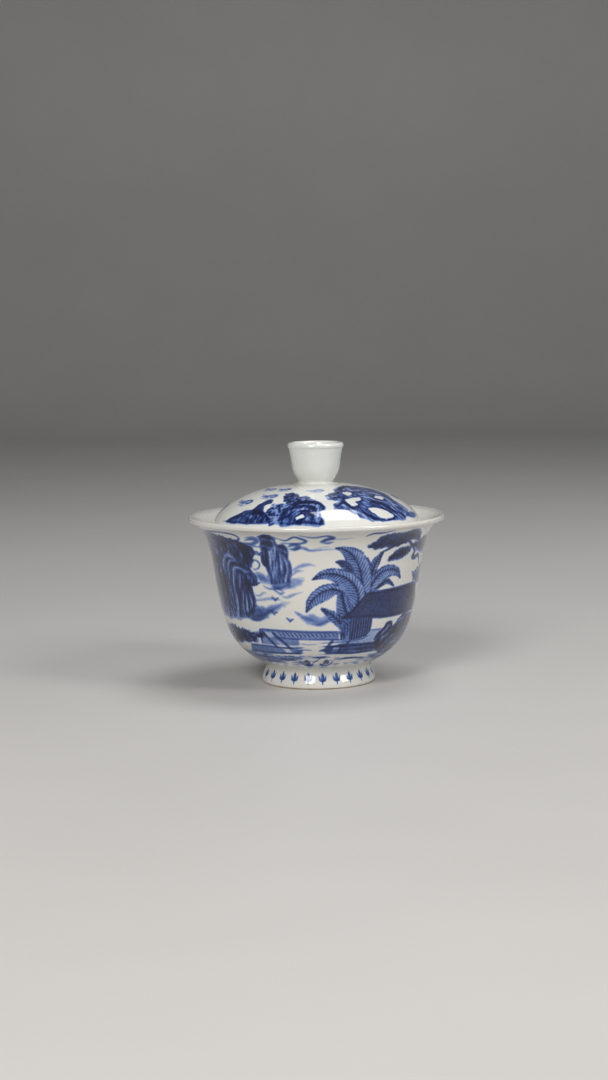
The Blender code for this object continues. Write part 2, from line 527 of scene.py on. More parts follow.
def wash(ground, outline, ink, edge=0.4, jag=0.0, rough="mid", fade=None, grain=0.25, opaque=False,
         ruled=False):
    """Fills a closed outline. jag roughens its edge, and fade changes the ink evenly between two
    places. A ruled outline keeps its corners."""
    rounded = outline if ruled else through([*outline, outline[0]], 4)[:-1]
    r, c, depth = depth_inside(ground, rounded, 2 * jag + edge)
    at = np.ix_(r, c % ground["ink"].shape[1])
    cover = np.clip((depth + 2 * jag * (mottle(ground, rough)[at] - 0.5)) / edge + 0.5, 0, 1)
    strength = ink
    if fade:
        (a0, level0, ink0), (a1, level1, ink1) = fade
        start, end = place(ground, [(a0, level0), (a1, level1)])
        run = end - start
        along = (c[None, :] - start[0]) * run[0] * COLUMN_TO_ROW + (r[:, None] - start[1]) * run[1]
        share = np.clip(along / (run[0] ** 2 * COLUMN_TO_ROW + run[1] ** 2), 0, 1)
        strength = ink0 + (ink1 - ink0) * share
    strength = strength * (1 - grain * (mottle(ground, "coarse")[at] * 0.6 + mottle(ground,
            "mid")[at] * 0.8 - 0.6))
    lay(ground, r, c, cover, strength, opaque)


# %% [markdown]
# ## Brush motifs
#
# A painter of landscapes has a small vocabulary of marks and uses it again and again: the leaf with a
# dark spine and combed veins, the scrolled cloud, the pad of pine needles, the rock with upright
# cracks, the bird in two flicks. Each is a function here, so the composition further down reads like a
# list of what is painted where.

# %% Leaf
def leaf(ground, spine, widths, ink=0.24, veins=0.36, lean=0.85, spacing=1.35, midrib=0.50,
         edge_line=1.3, notch=0.12):
    """A broad leaf: a pale blade that hides what is behind it, a dark midrib, combed veins and a nicked
    dark edge. widths lists the half width of each side from base to tip, in millimetres."""
    spots = place(ground, through(spine, 10))
    share = np.linspace(0, 1, len(spots))
    both = np.array(widths, float)
    r, c, span = bounds_of(ground, spots, both.max() + 0.8)
    best = np.full((len(r), len(c)), FAR_MM)
    at_share = np.zeros_like(best)
    side = np.zeros_like(best)
    length = 0
    for i in range(len(spots) - 1):
        a, b = spots[i], spots[i + 1]
        x, y = (c[None, :] - a[0]) * span, (r[:, None] - a[1]) * ROW_MM
        ex, ey = (b[0] - a[0]) * span, (b[1] - a[1]) * ROW_MM
        s = np.clip((x * ex + y * ey) / (ex**2 + ey**2 + TINY), 0, 1)
        away = np.hypot(x - s * ex, y - s * ey)
        closer = away < best
        best = np.where(closer, away, best)
        at_share = np.where(closer, share[i] + (share[i + 1] - share[i]) * s, at_share)
        side = np.where(closer, np.sign(x * ey - y * ex), side)
        length += float(np.hypot(ex.mean(), ey.mean()))
    steps = np.linspace(0, 1, both.shape[1])
    half = np.where(side > 0, np.interp(at_share, steps, both[0]), np.interp(at_share, steps, both[1]))
    comb = at_share * length - best * lean
    phase = np.abs((comb / spacing) % 1 - 0.5)
    half = half * (1 - notch * (2 * phase) ** 2) + 1e-3
    body = np.clip((half - best) / 0.25 + 0.5, 0, 1)
    at = np.ix_(r, c % ground["ink"].shape[1])
    shade = ink * (0.8 + 0.5 * mottle(ground, "mid")[at]) + 0.16 * (1 - np.clip(best / half, 0,
            1)) ** 2 + 0.07 * (side > 0)
    lay(ground, r, c, body, shade, opaque=True)
    fading = np.clip(1.5 - best / half, 0, 1) * (0.6 + 0.6 * mottle(ground, "mid")[at])
    rule(ground, r, c, body * fading, comb / spacing, veins)
    rib = np.clip((midrib * (1.2 - 0.7 * at_share) / 2 - best) / 0.25 + 0.5, 0, 1)
    lay(ground, r, c, rib * body, 1.3 * (0.6 + 0.6 * mottle(ground, "mid")[at]))
    line = np.clip((0.17 - np.abs(best - half + 0.1)) / 0.2 + 0.5, 0,
                   1) * (at_share > 0.02) * (best < half + 1)
    broken = np.clip(2.2 * mottle(ground, "mid")[at] - 0.2 - 0.5 * (side > 0), 0.15, 1)
    lay(ground, r, c, line * broken, edge_line)


# %% Clouds, birds and water
def cloud(ground, azimuth, level, length, rise, ink=0.55, way=1):
    """A scrolled cloud: a brush line that rolls up at its head, with two shorter ones under it. rise is
    its height."""

    def at(share, up):
        return (azimuth + way * length * share, level + rise * up)

    wash(ground, [at(0.02, 0.2), at(0.2, 0.8), at(0.5, 0.3), at(0.3, -0.3), at(0.1, -0.4)], 0.3 * ink,
         edge=1.0, jag=0.4)
    stroke(ground, [at(0.30, 0.25), at(0.20, -0.15), at(0.05, -0.10), at(0.0, 0.50), at(0.14, 1.0),
                    at(0.34, 0.80), at(0.52, 0.30), at(0.74, 0.35), at(1.0, 0.7)],
           [0.5, 0.8, 1.2, 0.8, 1.0, 0.3], ink, soft=0.4, dry=0.2)
    stroke(ground, [at(0.30, -0.55), at(0.46, -0.15), at(0.66, -0.20), at(0.92, 0.10)],
           [0.5, 1.1, 0.7, 0.3], 0.8 * ink, soft=0.4, dry=0.2)
    stroke(ground, [at(0.06, -0.75), at(0.24, -0.95), at(0.50, -0.80), at(0.74, -0.95)], [0.3, 0.8, 0.3],
           0.5 * ink, soft=0.4, dry=0.3)


def bird(ground, azimuth, level, size=2.1, ink=0.9):
    """A far bird: two bent wings that meet in the middle."""
    left = [(azimuth - size, level + 1.0), (azimuth - size * 0.45, level + 0.75), (azimuth, level - 0.35)]
    right = [(azimuth, level - 0.35), (azimuth + size * 0.5, level + 0.55),
             (azimuth + size * 1.1, level + 0.55)]
    stroke(ground, left, 0.5, ink, ends=(0.1, 0.02))
    stroke(ground, right, 0.5, ink, ends=(0.02, 0.2))


def ripples(ground, left, right, low, high, count, ink, seed):
    """Short level strokes, as still water is drawn."""
    dice = np.random.default_rng(seed)
    for _ in range(count):
        start = dice.uniform(left, right)
        level = dice.uniform(low, high)
        reach = dice.uniform(3, 11)
        stroke(ground, [(start, level), (start + reach / 2, level + dice.uniform(-0.2, 0.2)),
                        (start + reach, level)], dice.uniform(0.25, 0.6), ink * dice.uniform(0.5, 1.1),
               dry=0.4)


# %% Rock, pine and leaf cover
def needles(ground, azimuth, level, wide, high, count, ink, seed, length=1.6, spread=70):
    """A pad of pine foliage: many short strokes that fan upwards from a level line."""
    dice = np.random.default_rng(seed)
    for _ in range(count):
        across = dice.uniform(-1, 1)
        base = level + high * (1 - across**2) * dice.uniform(0, 1)
        start = azimuth + across * wide
        lean = math.radians(dice.uniform(-spread, spread) + 25 * across)
        reach = length * dice.uniform(0.6, 1.1)
        degrees = math.degrees(reach * math.sin(lean) / max(ground["radius"].mean(), 1))
        stroke(ground, [(start, base), (start + degrees, base + reach * math.cos(lean) * 0.8)], [0.5, 0.2],
               ink * dice.uniform(0.5, 1.0), ends=(0.05, 0.5))


def scatter(outline, count, dice):
    """Random places inside an outline."""
    corners = np.array(outline, float)
    low, high = corners.min(0), corners.max(0)
    found = []
    while len(found) < count:
        spot = dice.uniform(low, high)
        crossings = 0
        for a, b in zip(corners, np.roll(corners, -1, axis=0)):
            if (a[1] > spot[1]) != (b[1] > spot[1]):
                crossings += spot[0] < a[0] + (spot[1] - a[1]) / (b[1] - a[1]) * (b[0] - a[0])
        if crossings % 2:
            found.append(spot)
    return found


def dabs(ground, outline, count, size, ink, seed):
    """Leaf cover: dabs of a small brush, lying every way."""
    dice = np.random.default_rng(seed)
    for spot in scatter(outline, count, dice):
        turn_by = dice.uniform(0, math.pi)
        reach = size * dice.uniform(0.3, 0.9)
        step = (reach * math.cos(turn_by) * 1.5, reach * math.sin(turn_by))
        stroke(ground, [spot, spot + step], size * dice.uniform(0.6, 1.1), ink * dice.uniform(0.5, 1.1),
               ends=(0.3, 0.3))


def hatch(ground, outline, count, lean, length, width, ink, seed, opaque=False):
    """Short strokes that all lean one way and stay inside an outline, as rock faces are built up. lean
    is the degrees round for each millimetre up."""
    dice = np.random.default_rng(seed)

    def marks(sheet):
        for spot in scatter(outline, count, dice):
            reach = length * dice.uniform(0.5, 1.3) / 2
            slant = lean * dice.uniform(0.6, 1.4) + dice.uniform(-0.12, 0.12)
            bow = dice.uniform(-0.25, 0.25)
            top = (spot[0] + slant * reach, spot[1] + reach)
            foot = (spot[0] - slant * reach, spot[1] - reach)
            stroke(sheet, [top, (spot[0] + bow, spot[1]), foot], width * dice.uniform(0.6, 1.3),
                   ink * dice.uniform(0.5, 1.2), soft=0.3, ends=(0.3, 0.5), dry=0.25, opaque=opaque)

    masked(ground, outline, marks)


def rock(ground, outline, count, lean, seed, ink=0.75, length=3.2, width=0.8):
    """A rock: a mid wash, dark strokes over it and light ones scraped back out, and a broken dark
    edge."""
    wash(ground, outline, ink, edge=0.5, jag=0.5, grain=0.4)
    hatch(ground, outline, count, lean, length, width, 0.8, seed)
    hatch(ground, outline, count // 3, lean, length * 0.9, width * 0.7, 0.16, seed + 1, opaque=True)
    hatch(ground, outline, count // 4, lean, length * 0.7, width * 0.7, 0.9, seed + 2)
    stroke(ground, through([*outline, outline[0]], 4), 0.6, 0.7, dry=0.38, ends=(0.02, 0.02))


# %% [markdown]
# ## The painting on the bowl
#
# The scene runs round the cup without a break: cliffs and a hanging rock with mist at its foot on the
# left, broad leaves and a tiled pavilion on the right, a garden terrace and water below, birds and
# clouds between them. The far side goes on with distant hills, an old pine and boats. The order
# matters, as later marks lie over earlier ones. Each number below is a place or a size that was chosen,
# as a painter would choose it.

# %% Cliffs on the left
def paint_cliffs(ground):
    face = [(-104, 61.6), (-72, 61.2), (-55, 60.4), (-46, 59.0), (-39, 58.4), (-34, 56.2), (-34.6, 53.2),
            (-35.4, 50.5), (-38, 47.8), (-36, 45.6), (-35, 43.4), (-38.4, 41.4), (-37, 38.0),
            (-37, 34.4), (-40, 31.0), (-46, 28.6), (-58, 27.4), (-80, 27.8), (-104, 30)]
    wash(ground, face, 0.6, edge=0.5, jag=0.6, fade=((-50, 52, 0.85), (-48, 28, 0.30)), grain=0.4)
    crown = [(-104, 61), (-60, 60), (-48, 58.8), (-39, 58.0), (-34.6, 56.0), (-35.4, 51.4), (-40, 48.6),
             (-47, 51.6), (-54, 53.6), (-62, 50), (-66, 40), (-62, 33), (-104, 34)]
    hatch(ground, crown, 420, -0.25, 3.6, 1.1, 0.75, 61)
    dabs(ground, [(-56, 60), (-44, 59), (-35.6, 56.4), (-36, 50.4), (-44, 50.6), (-52, 54)], 90, 1.3, 0.6, 62)
    hatch(ground, crown, 110, -0.25, 3.4, 0.9, 0.22, 63, opaque=True)
    flank = [(-104, 46), (-64, 46), (-57, 44), (-56, 28.6), (-66, 28.2), (-76, 29.6), (-88, 28.0), (-104, 29)]
    hatch(ground, flank, 210, 0.10, 7.0, 1.2, 0.8, 66)
    hatch(ground, flank, 60, 0.10, 6.0, 0.6, 0.14, 67, opaque=True)
    fall = [(-58, 46), (-44, 47), (-38, 46), (-37.6, 38), (-38.6, 32), (-46, 29), (-60, 29)]
    hatch(ground, fall, 170, 0.12, 6.0, 0.85, 0.75, 64)
    hatch(ground, fall, 70, 0.12, 6.0, 0.55, 0.12, 65, opaque=True)
    for path, width, ink in (
        ([(-61, 44), (-60, 49.6), (-56, 52.6), (-51, 52.4), (-47, 50)], [0.8, 1.7, 1.0], 0.12),
        ([(-57, 43.6), (-55.6, 48.4), (-52.4, 50.8), (-48, 50.6)], [0.6, 1.3, 0.6], 0.20),
        ([(-52, 44), (-51, 47.2), (-48, 48.6), (-43.6, 48.2), (-39.6, 46.6)], [0.5, 1.1, 0.8], 0.10),
        ([(-47, 40), (-46.4, 44), (-44, 46.6), (-41, 46.8)], [0.5, 1.0, 0.6], 0.14),
    ):
        stroke(ground, path, width, ink, soft=0.45, dry=0.25, opaque=True)
    for path, width, ink in (
        ([(-54.6, 45.6), (-53.6, 48.2), (-51, 49.6), (-46, 49.6), (-40, 48.4), (-36.6, 47.4)],
         [0.6, 1.4, 1.9, 1.1], 1.2),
        ([(-57, 46), (-56.6, 50), (-53, 51.6), (-49, 51.2)], [0.4, 0.8, 0.6], 0.8),
        ([(-49, 46.6), (-46.6, 47.2), (-43, 46.2), (-42, 43)], [0.5, 1.0, 0.7], 1.0),
        ([(-39.6, 46.4), (-36.6, 46.2), (-35.2, 44.6), (-36.4, 42.6), (-39.2, 42.2)],
         [1.0, 2.2, 2.0, 0.9], 1.0),
        ([(-41.2, 45), (-39.6, 41), (-38.4, 37.4), (-38.2, 33.6)], [0.7, 1.9, 1.9, 0.8], 1.0),
        ([(-50, 46), (-49.4, 39), (-50, 30)], [0.8, 2.2, 0.8], 1.2),
        ([(-63, 50), (-61, 42), (-61.6, 32)], [0.9, 2.4, 0.8], 1.2),
        ([(-69, 56), (-68, 46), (-68.6, 34)], [0.9, 2.4, 0.8], 1.2),
        ([(-45, 43), (-44.4, 38.4), (-45.2, 33.4)], [0.5, 1.0, 0.4], 0.7),
        ([(-55, 43), (-54, 38), (-55, 33)], [0.6, 1.4, 0.5], 0.9),
    ):
        stroke(ground, path, width, ink, soft=0.35, dry=0.2)
    stroke(ground, [(-35.8, 51.9), (-33, 51.8), (-31.4, 50.4), (-32.6, 48.8), (-35.4, 48.3)],
           [0.4, 0.6, 0.4], 0.9, dry=0.15)
    stroke(ground, [(-36, 53.4), (-33.4, 54.6), (-35, 56.6), (-39, 57.6)], [0.6, 0.9, 0.6], 0.9, dry=0.2)
    wash(ground, [(-47, 30.4), (-38, 33.6), (-30, 33.8), (-22, 35.8), (-13, 36.6), (-18, 35.0),
                  (-25, 32.6), (-31, 29.8), (-40, 28.0)], 0.42, edge=1.1, jag=0.5,
         fade=((-40, 30, 0.70), (-15, 36, 0.14)))
    stroke(ground, [(-40, 30.2), (-34, 30.4), (-28, 32.6), (-21, 35.0)], [0.6, 1.5, 1.2, 0.4], 0.35,
           soft=0.6, dry=0.2)
    stroke(ground, [(-43, 28.6), (-36, 28.6), (-31, 30.2)], [0.5, 0.9, 0.4], 0.45, soft=0.5, dry=0.2)
    stroke(ground, [(-37.6, 38.8), (-34, 38.2), (-31, 39.4), (-28, 39.8)], [0.5, 0.8, 0.3], 0.26, soft=0.4)
    stroke(ground, [(-38, 36.2), (-32, 36.8), (-26, 37.4), (-18, 36.6)], [0.8, 1.0, 0.3], 0.24, soft=0.4)
    stroke(ground, [(-78, 61.0), (-64, 61.6), (-50, 61.9), (-43, 61.4), (-40.6, 60.2), (-43, 59.0),
                    (-47.6, 58.8)], [0.9, 0.8, 0.8, 0.7], 1.1, dry=0.15)
    stroke(ground, [(-44, 59.8), (-41, 58.6), (-36, 58.2), (-31, 57.2)], [0.5, 0.7, 0.3], 0.55, dry=0.2)


# %% Hanging rock and mist
def paint_hanging_rock(ground):
    block = [(-28.6, 61.2), (-24, 62.3), (-20.6, 61.0), (-20.0, 58.6), (-16.6, 58.4), (-14.4, 56.8),
             (-15.2, 53.6), (-13.8, 50.0), (-13.4, 45.6), (-16, 42.6), (-21, 41.6), (-26, 43.2),
             (-27.4, 47.4), (-29.6, 51.4), (-29.2, 56.5)]
    wash(ground, block, 0.4, edge=0.5, jag=0.5, fade=((-21, 56, 0.62), (-21, 42, 0.12)))
    lower = [(-27.4, 56), (-15.4, 56), (-14.4, 44), (-25.6, 43)]
    hatch(ground, lower, 60, 0.05, 7.0, 0.75, 0.75, 71)
    hatch(ground, lower, 34, 0.05, 6.0, 0.50, 0.10, 72, opaque=True)
    for path, width, ink in (
        ([(-27.8, 61.0), (-24.6, 61.6), (-21.6, 60.4)], [1.4, 2.2, 1.4], 1.2),
        ([(-28.6, 58.4), (-26, 58.8), (-22.6, 58.4), (-20.6, 59.2)], [1.2, 2.2, 2.2, 0.8], 1.1),
        ([(-28.8, 56.2), (-26.4, 56.6), (-24.2, 56.2)], [0.9, 1.6, 0.8], 1.0),
        ([(-19.8, 57.8), (-17, 57.6), (-15.0, 55.8)], [0.9, 1.8, 1.2], 1.1),
        ([(-18.6, 55.6), (-16.4, 54.4), (-15.6, 51.8)], [0.8, 1.5, 0.8], 0.9),
        ([(-29, 54.6), (-28.8, 51.6), (-27, 49.2)], [1.0, 1.8, 0.8], 1.1),
        ([(-27, 55), (-26.4, 50.4), (-25.4, 45.2)], [1.0, 2.0, 0.6], 0.9),
        ([(-20.4, 56), (-20, 51.6), (-20.6, 46.6)], [0.6, 1.1, 0.5], 0.9),
        ([(-17.4, 52), (-17.2, 48.6), (-17.8, 45.4)], [0.5, 1.1, 0.4], 0.8),
        ([(-14.6, 52.6), (-13.9, 49.4), (-14.2, 45.8)], [0.4, 0.8, 0.4], 0.9),
    ):
        stroke(ground, path, width, ink, soft=0.35, dry=0.2)
    for path, width in (
        ([(-25.4, 57.4), (-24.4, 54), (-24.8, 49.4), (-23.8, 45.6)], [0.4, 1.0, 0.6]),
        ([(-23.4, 57.2), (-22.8, 53.4), (-22.9, 49)], [0.5, 1.1, 0.5]),
        ([(-22.2, 60.8), (-21.4, 57.4), (-21.8, 53.6)], [0.5, 1.0, 0.6]),
        ([(-19.6, 55.8), (-18.8, 51.2), (-19.2, 46.8)], [0.5, 0.9, 0.5]),
        ([(-16.6, 53.6), (-15.8, 50), (-16.2, 45.6)], [0.4, 0.7, 0.4]),
    ):
        stroke(ground, path, width, 0.06, soft=0.4, dry=0.2, opaque=True)
    wash(ground, [(-34, 46.8), (-30.6, 47.0), (-27, 45.4), (-18, 44.0), (-14, 42.4), (-20, 40.8),
                  (-27, 42.8), (-32.4, 44.0)], 0.30, edge=1.1, jag=0.5)
    stroke(ground, [(-33.6, 45.8), (-30.8, 45.2), (-27, 44.2)], [1.0, 1.8, 0.8], 0.32, soft=0.6, dry=0.2)
    wash(ground, [(-16, 45.0), (-11, 45.6), (-6.8, 45.0), (-9.6, 43.0), (-15, 41.6)], 0.26, edge=1.2, jag=0.5)
    stroke(ground, [(-25, 42.0), (-20, 41.8), (-16.6, 42.8)], [0.5, 1.0, 0.4], 0.45, soft=0.4, dry=0.2)
    stroke(ground, [(-31, 42.4), (-27, 41.2), (-21, 41.2), (-18.6, 40.0)], [0.4, 0.8, 0.4], 0.50, dry=0.15)
    stroke(ground, [(-24.6, 41.0), (-20.6, 39.6), (-17.6, 40.2)], [0.4, 0.9, 0.4], 0.50, dry=0.2)
    stroke(ground, [(-21, 38.8), (-17, 38.2), (-12.6, 39.4), (-7.6, 40.4)], [0.4, 1.1, 0.3], 0.34,
           soft=0.4, dry=0.2)
    stroke(ground, [(-14.4, 47.6), (-10, 49.8), (-4.6, 50.8), (-0.6, 50.2)], [0.5, 1.5, 0.4], 0.24, soft=0.6)
    stroke(ground, [(-14, 46.4), (-10.6, 48.2), (-7, 48.4)], [0.5, 1.0, 0.3], 0.26, soft=0.5)
    stroke(ground, [(-38, 49.4), (-35, 48.2), (-32.4, 46.4)], [0.3, 0.5, 0.3], 0.22)


def paint_sky(ground):
    for path, width, ink in (
        ([(-37.6, 59.4), (-33, 60.2), (-30, 59.6), (-33, 58.4), (-37, 58.4)], [0.7, 1.6, 0.9], 0.65),
        ([(-37, 60.4), (-32, 61.0), (-28.6, 60.4)], [0.3, 0.6, 0.4], 0.6),
        ([(-41, 55.8), (-36.4, 55.6), (-33, 54.6), (-28, 53.6), (-24, 53.4)], [0.8, 1.5, 0.5, 0.3], 0.50),
        ([(-42, 58.4), (-36, 57.6), (-30, 57.2), (-25, 57.6)], [0.4, 0.7, 0.3], 0.42),
        ([(-20, 61.2), (-15.4, 60.0), (-11, 61.4), (-8.4, 61.0), (-5.2, 59.8), (-7.6, 59.0), (-13, 58.9),
          (-18, 59.0)], [0.5, 0.6, 1.0, 0.7, 0.4], 0.85),
        ([(-14.6, 57.4), (-12, 58.4), (-9, 57.9), (-11, 56.7), (-14, 56.8)], [0.8, 1.8, 1.2], 0.60),
        ([(-12, 56.6), (-7, 57.2), (-3.6, 56.2), (2, 56.4), (9, 56.4)], [1.2, 1.1, 0.6, 0.3], 0.45),
        ([(1.4, 59.4), (4.6, 60.4), (7.8, 61.0), (4.4, 61.8), (-2, 61.2), (-8.6, 62.2)],
         [1.4, 1.3, 0.6, 0.5], 0.80),
        ([(2.2, 59.2), (5.4, 59.0), (8.4, 59.6)], [0.7, 1.0, 0.3], 0.45),
        ([(6, 60.6), (12, 60.4), (18, 60.8)], [0.5, 0.6, 0.2], 0.22),
        ([(-2, 57.0), (4, 57.4), (8, 57.0)], [0.3, 0.5, 0.2], 0.20),
    ):
        stroke(ground, path, width, ink, soft=0.45, dry=0.15)
    for azimuth, level in ((-30.6, 54.4), (-34.6, 42.6), (-24.0, 37.0), (-25.4, 31.6), (-16.2, 29.0)):
        bird(ground, azimuth, level)
    wash(ground, [(-13, 32.8), (-9, 31.2), (-3, 31.6), (1, 30.6), (7, 31.0), (10, 29.6), (5, 28.0),
                  (1, 26.8), (-4, 27.6), (-9, 29.8)], 0.30, edge=1.0, jag=0.5)
    stroke(ground, [(-13.4, 32.8), (-9, 31.0), (-4.6, 29.6), (0, 28.8)], [0.4, 1.4, 1.0, 0.5], 0.34,
           soft=0.5, dry=0.2)
    stroke(ground, [(-4, 28.0), (0, 27.6), (5, 29.0), (9, 29.0)], [0.5, 1.2, 0.5], 0.34, soft=0.5, dry=0.2)


# %% Broad leaves beside the pavilion
def paint_leaves(ground):
    leaf(ground, [(27.4, 38), (28.0, 44), (27.8, 48.6), (26.6, 52.4)],
         [[2.6, 3.0, 2.2, 0.2], [1.6, 2.0, 1.6, 0.2]], 0.30)
    leaf(ground, [(29, 43), (30.6, 47.8), (32.6, 51.2), (35.8, 54.2)],
         [[1.4, 2.2, 2.0, 0.2], [1.0, 1.7, 1.6, 0.2]], 0.34, 0.9)
    leaf(ground, [(33.4, 40.6), (37.4, 42.2), (41.6, 42.8), (46.4, 40.6)],
         [[0.6, 0.8, 0.9, 0.2], [0.7, 1.0, 1.2, 0.2]], 0.42)
    leaf(ground, [(29, 40.4), (33, 44.6), (37.6, 46.8), (43, 47.2), (48, 46), (51.4, 43.2)],
         [[1.4, 1.8, 2.0, 1.8, 1.3, 0.2], [2.4, 3.8, 3.6, 2.8, 1.7, 0.2]], 0.25)
    leaf(ground, [(25.0, 37), (24.6, 43), (22.6, 48.6), (19.0, 53.2), (14.4, 56.0), (9.0, 57.0)],
         [[2.4, 3.6, 4.4, 3.8, 2.0, 0.1], [3.2, 4.2, 4.6, 3.6, 1.4, 0.1]], 0.25)
    leaf(ground, [(18.4, 47.6), (15.4, 49.6), (12.4, 51.2), (9.8, 51.6)],
         [[1.1, 1.5, 1.2, 0.3], [1.0, 1.5, 1.1, 0.3]], 0.46, spacing=1.1)
    leaf(ground, [(23.0, 35.0), (22.4, 39.2), (19.0, 43.2), (14.0, 45.8), (8.6, 47.0), (3, 47.0),
                  (-2.8, 45.0)], [[6.0, 6.6, 5.6, 4.0, 2.8, 1.9, 0.1],
                                  [2.2, 3.2, 3.2, 2.6, 2.2, 1.6, 0.1]], 0.25)
    leaf(ground, [(18.6, 29.4), (15.4, 33.0), (13.8, 36.8), (12.0, 40.8)],
         [[2.6, 3.4, 2.6, 0.8], [1.6, 2.4, 2.2, 0.8]], 0.30)
    leaf(ground, [(12.8, 40.2), (8.6, 41.2), (3.8, 40.6), (-0.6, 38.8), (-4.0, 36.2), (-6.4, 32.6)],
         [[1.0, 2.8, 3.8, 3.4, 2.3, 0.2], [1.2, 2.2, 2.4, 2.2, 1.6, 0.2]], 0.26)
    leaf(ground, [(16.4, 25.0), (12.6, 28.4), (7.6, 31.4), (2.2, 33.8)],
         [[1.4, 2.0, 1.8, 0.4], [1.2, 1.8, 1.6, 0.4]], 0.34)
    stroke(ground, [(13.4, 40.6), (13.8, 37.4), (15.2, 34.0), (17.6, 30.8)], [0.5, 0.8, 0.5], 0.9)
    trunk = [(12.6, 25.6), (15, 30), (20.4, 31.0), (19.8, 24), (18.0, 20.6), (14.6, 21.2)]
    wash(ground, trunk, 0.36, edge=0.4, jag=0.25, opaque=True)
    for azimuth, level, reach in (
        (14.0, 25.6, 4.2), (15.4, 26.4, 4.4), (17.0, 27.2, 4.6), (18.6, 27.8, 4.6), (13.4, 23.6, 2.4),
        (15.4, 23.4, 2.2),
    ):
        stroke(ground, [(azimuth - 1.2, level + 0.9), (azimuth + 0.3, level),
                        (azimuth + 0.6, level - reach)], [0.3, 0.7, 0.5], 1.0, dry=0.15)
    for azimuth, level in ((14.4, 28.6), (15.8, 29.6), (17.4, 30.2)):
        stroke(ground, [(azimuth - 1.4, level + 0.3), (azimuth + 0.4, level),
                        (azimuth + 2.2, level - 1.4)], [0.3, 0.6, 0.3], 0.8)


# %% Pavilion and terrace
def ruled_area(ground, outline, per_degree, per_mm, strength, edge=0.4):
    """Fine parallel lines over an area: the comb counts so many lines for each degree round and
    millimetre up."""
    r, c, depth = depth_inside(ground, outline, edge)
    comb = c[None, :] / COLUMNS_PER_DEGREE * per_degree + ground["level"][r][:, None] * per_mm
    rule(ground, r, c, np.clip(depth / edge + 0.5, 0, 1), comb, strength)


def paint_pavilion(ground):
    roof = [(13.5, 29.9), (20, 32.8), (27.8, 38.9), (40, 39.3), (58, 39.9), (71, 39.6), (76, 35.6),
            (86, 29.2), (60, 28.9), (40, 28.7), (30, 29.6)]
    wash(ground, roof, 1.7, edge=0.35, jag=0.1, opaque=True, ruled=True, grain=0.25)
    tiles = [(17, 30.4), (22.2, 33.6), (28.6, 38.2), (60, 38.8), (72, 30.2), (40, 29.6), (30, 30.4)]
    ruled_area(ground, tiles, -0.62, 0.95, -0.30)
    stroke(ground, [(13, 29.8), (20, 32.9), (27.8, 38.9)], [0.4, 0.8, 0.5], 0.9, ends=(0.1, 0.02))
    stroke(ground, [(27.4, 39.0), (40, 39.4), (58, 40.0), (71, 39.7), (76, 35.8), (87, 28.9)],
           [0.6, 0.7, 0.7, 0.6], 0.9, ends=(0.02, 0.1))
    stroke(ground, [(14, 29.7), (30, 29.3), (46, 28.6), (60, 28.9), (86, 29.0)], [0.3, 0.5, 0.4], 0.7)
    wall = [(19.4, 29.6), (33.2, 29.2), (33.0, 22.4), (26, 21.4), (19.2, 20.7)]
    wash(ground, wall, 1.3, edge=0.3, jag=0.1, opaque=True, ruled=True, grain=0.3)
    ruled_area(ground, wall, 0.62, 0.0, -0.26)
    wash(ground, [(33.4, 28.6), (55, 28.6), (50, 26.4), (40, 24.6), (33.2, 24.5)], 0.02, edge=0.4,
         opaque=True, ruled=True)
    wash(ground, [(33.2, 24.4), (41, 24.4), (41, 19.6), (20, 20.4), (20, 20.9), (30, 21.6)], 0.18,
         edge=0.3, opaque=True, ruled=True)
    stroke(ground, [(33.2, 24.4), (38, 24.2), (44, 24.3)], 0.4, 0.7)
    stroke(ground, [(20, 20.7), (27, 21.0), (33, 22.3)], 0.4, 0.7)


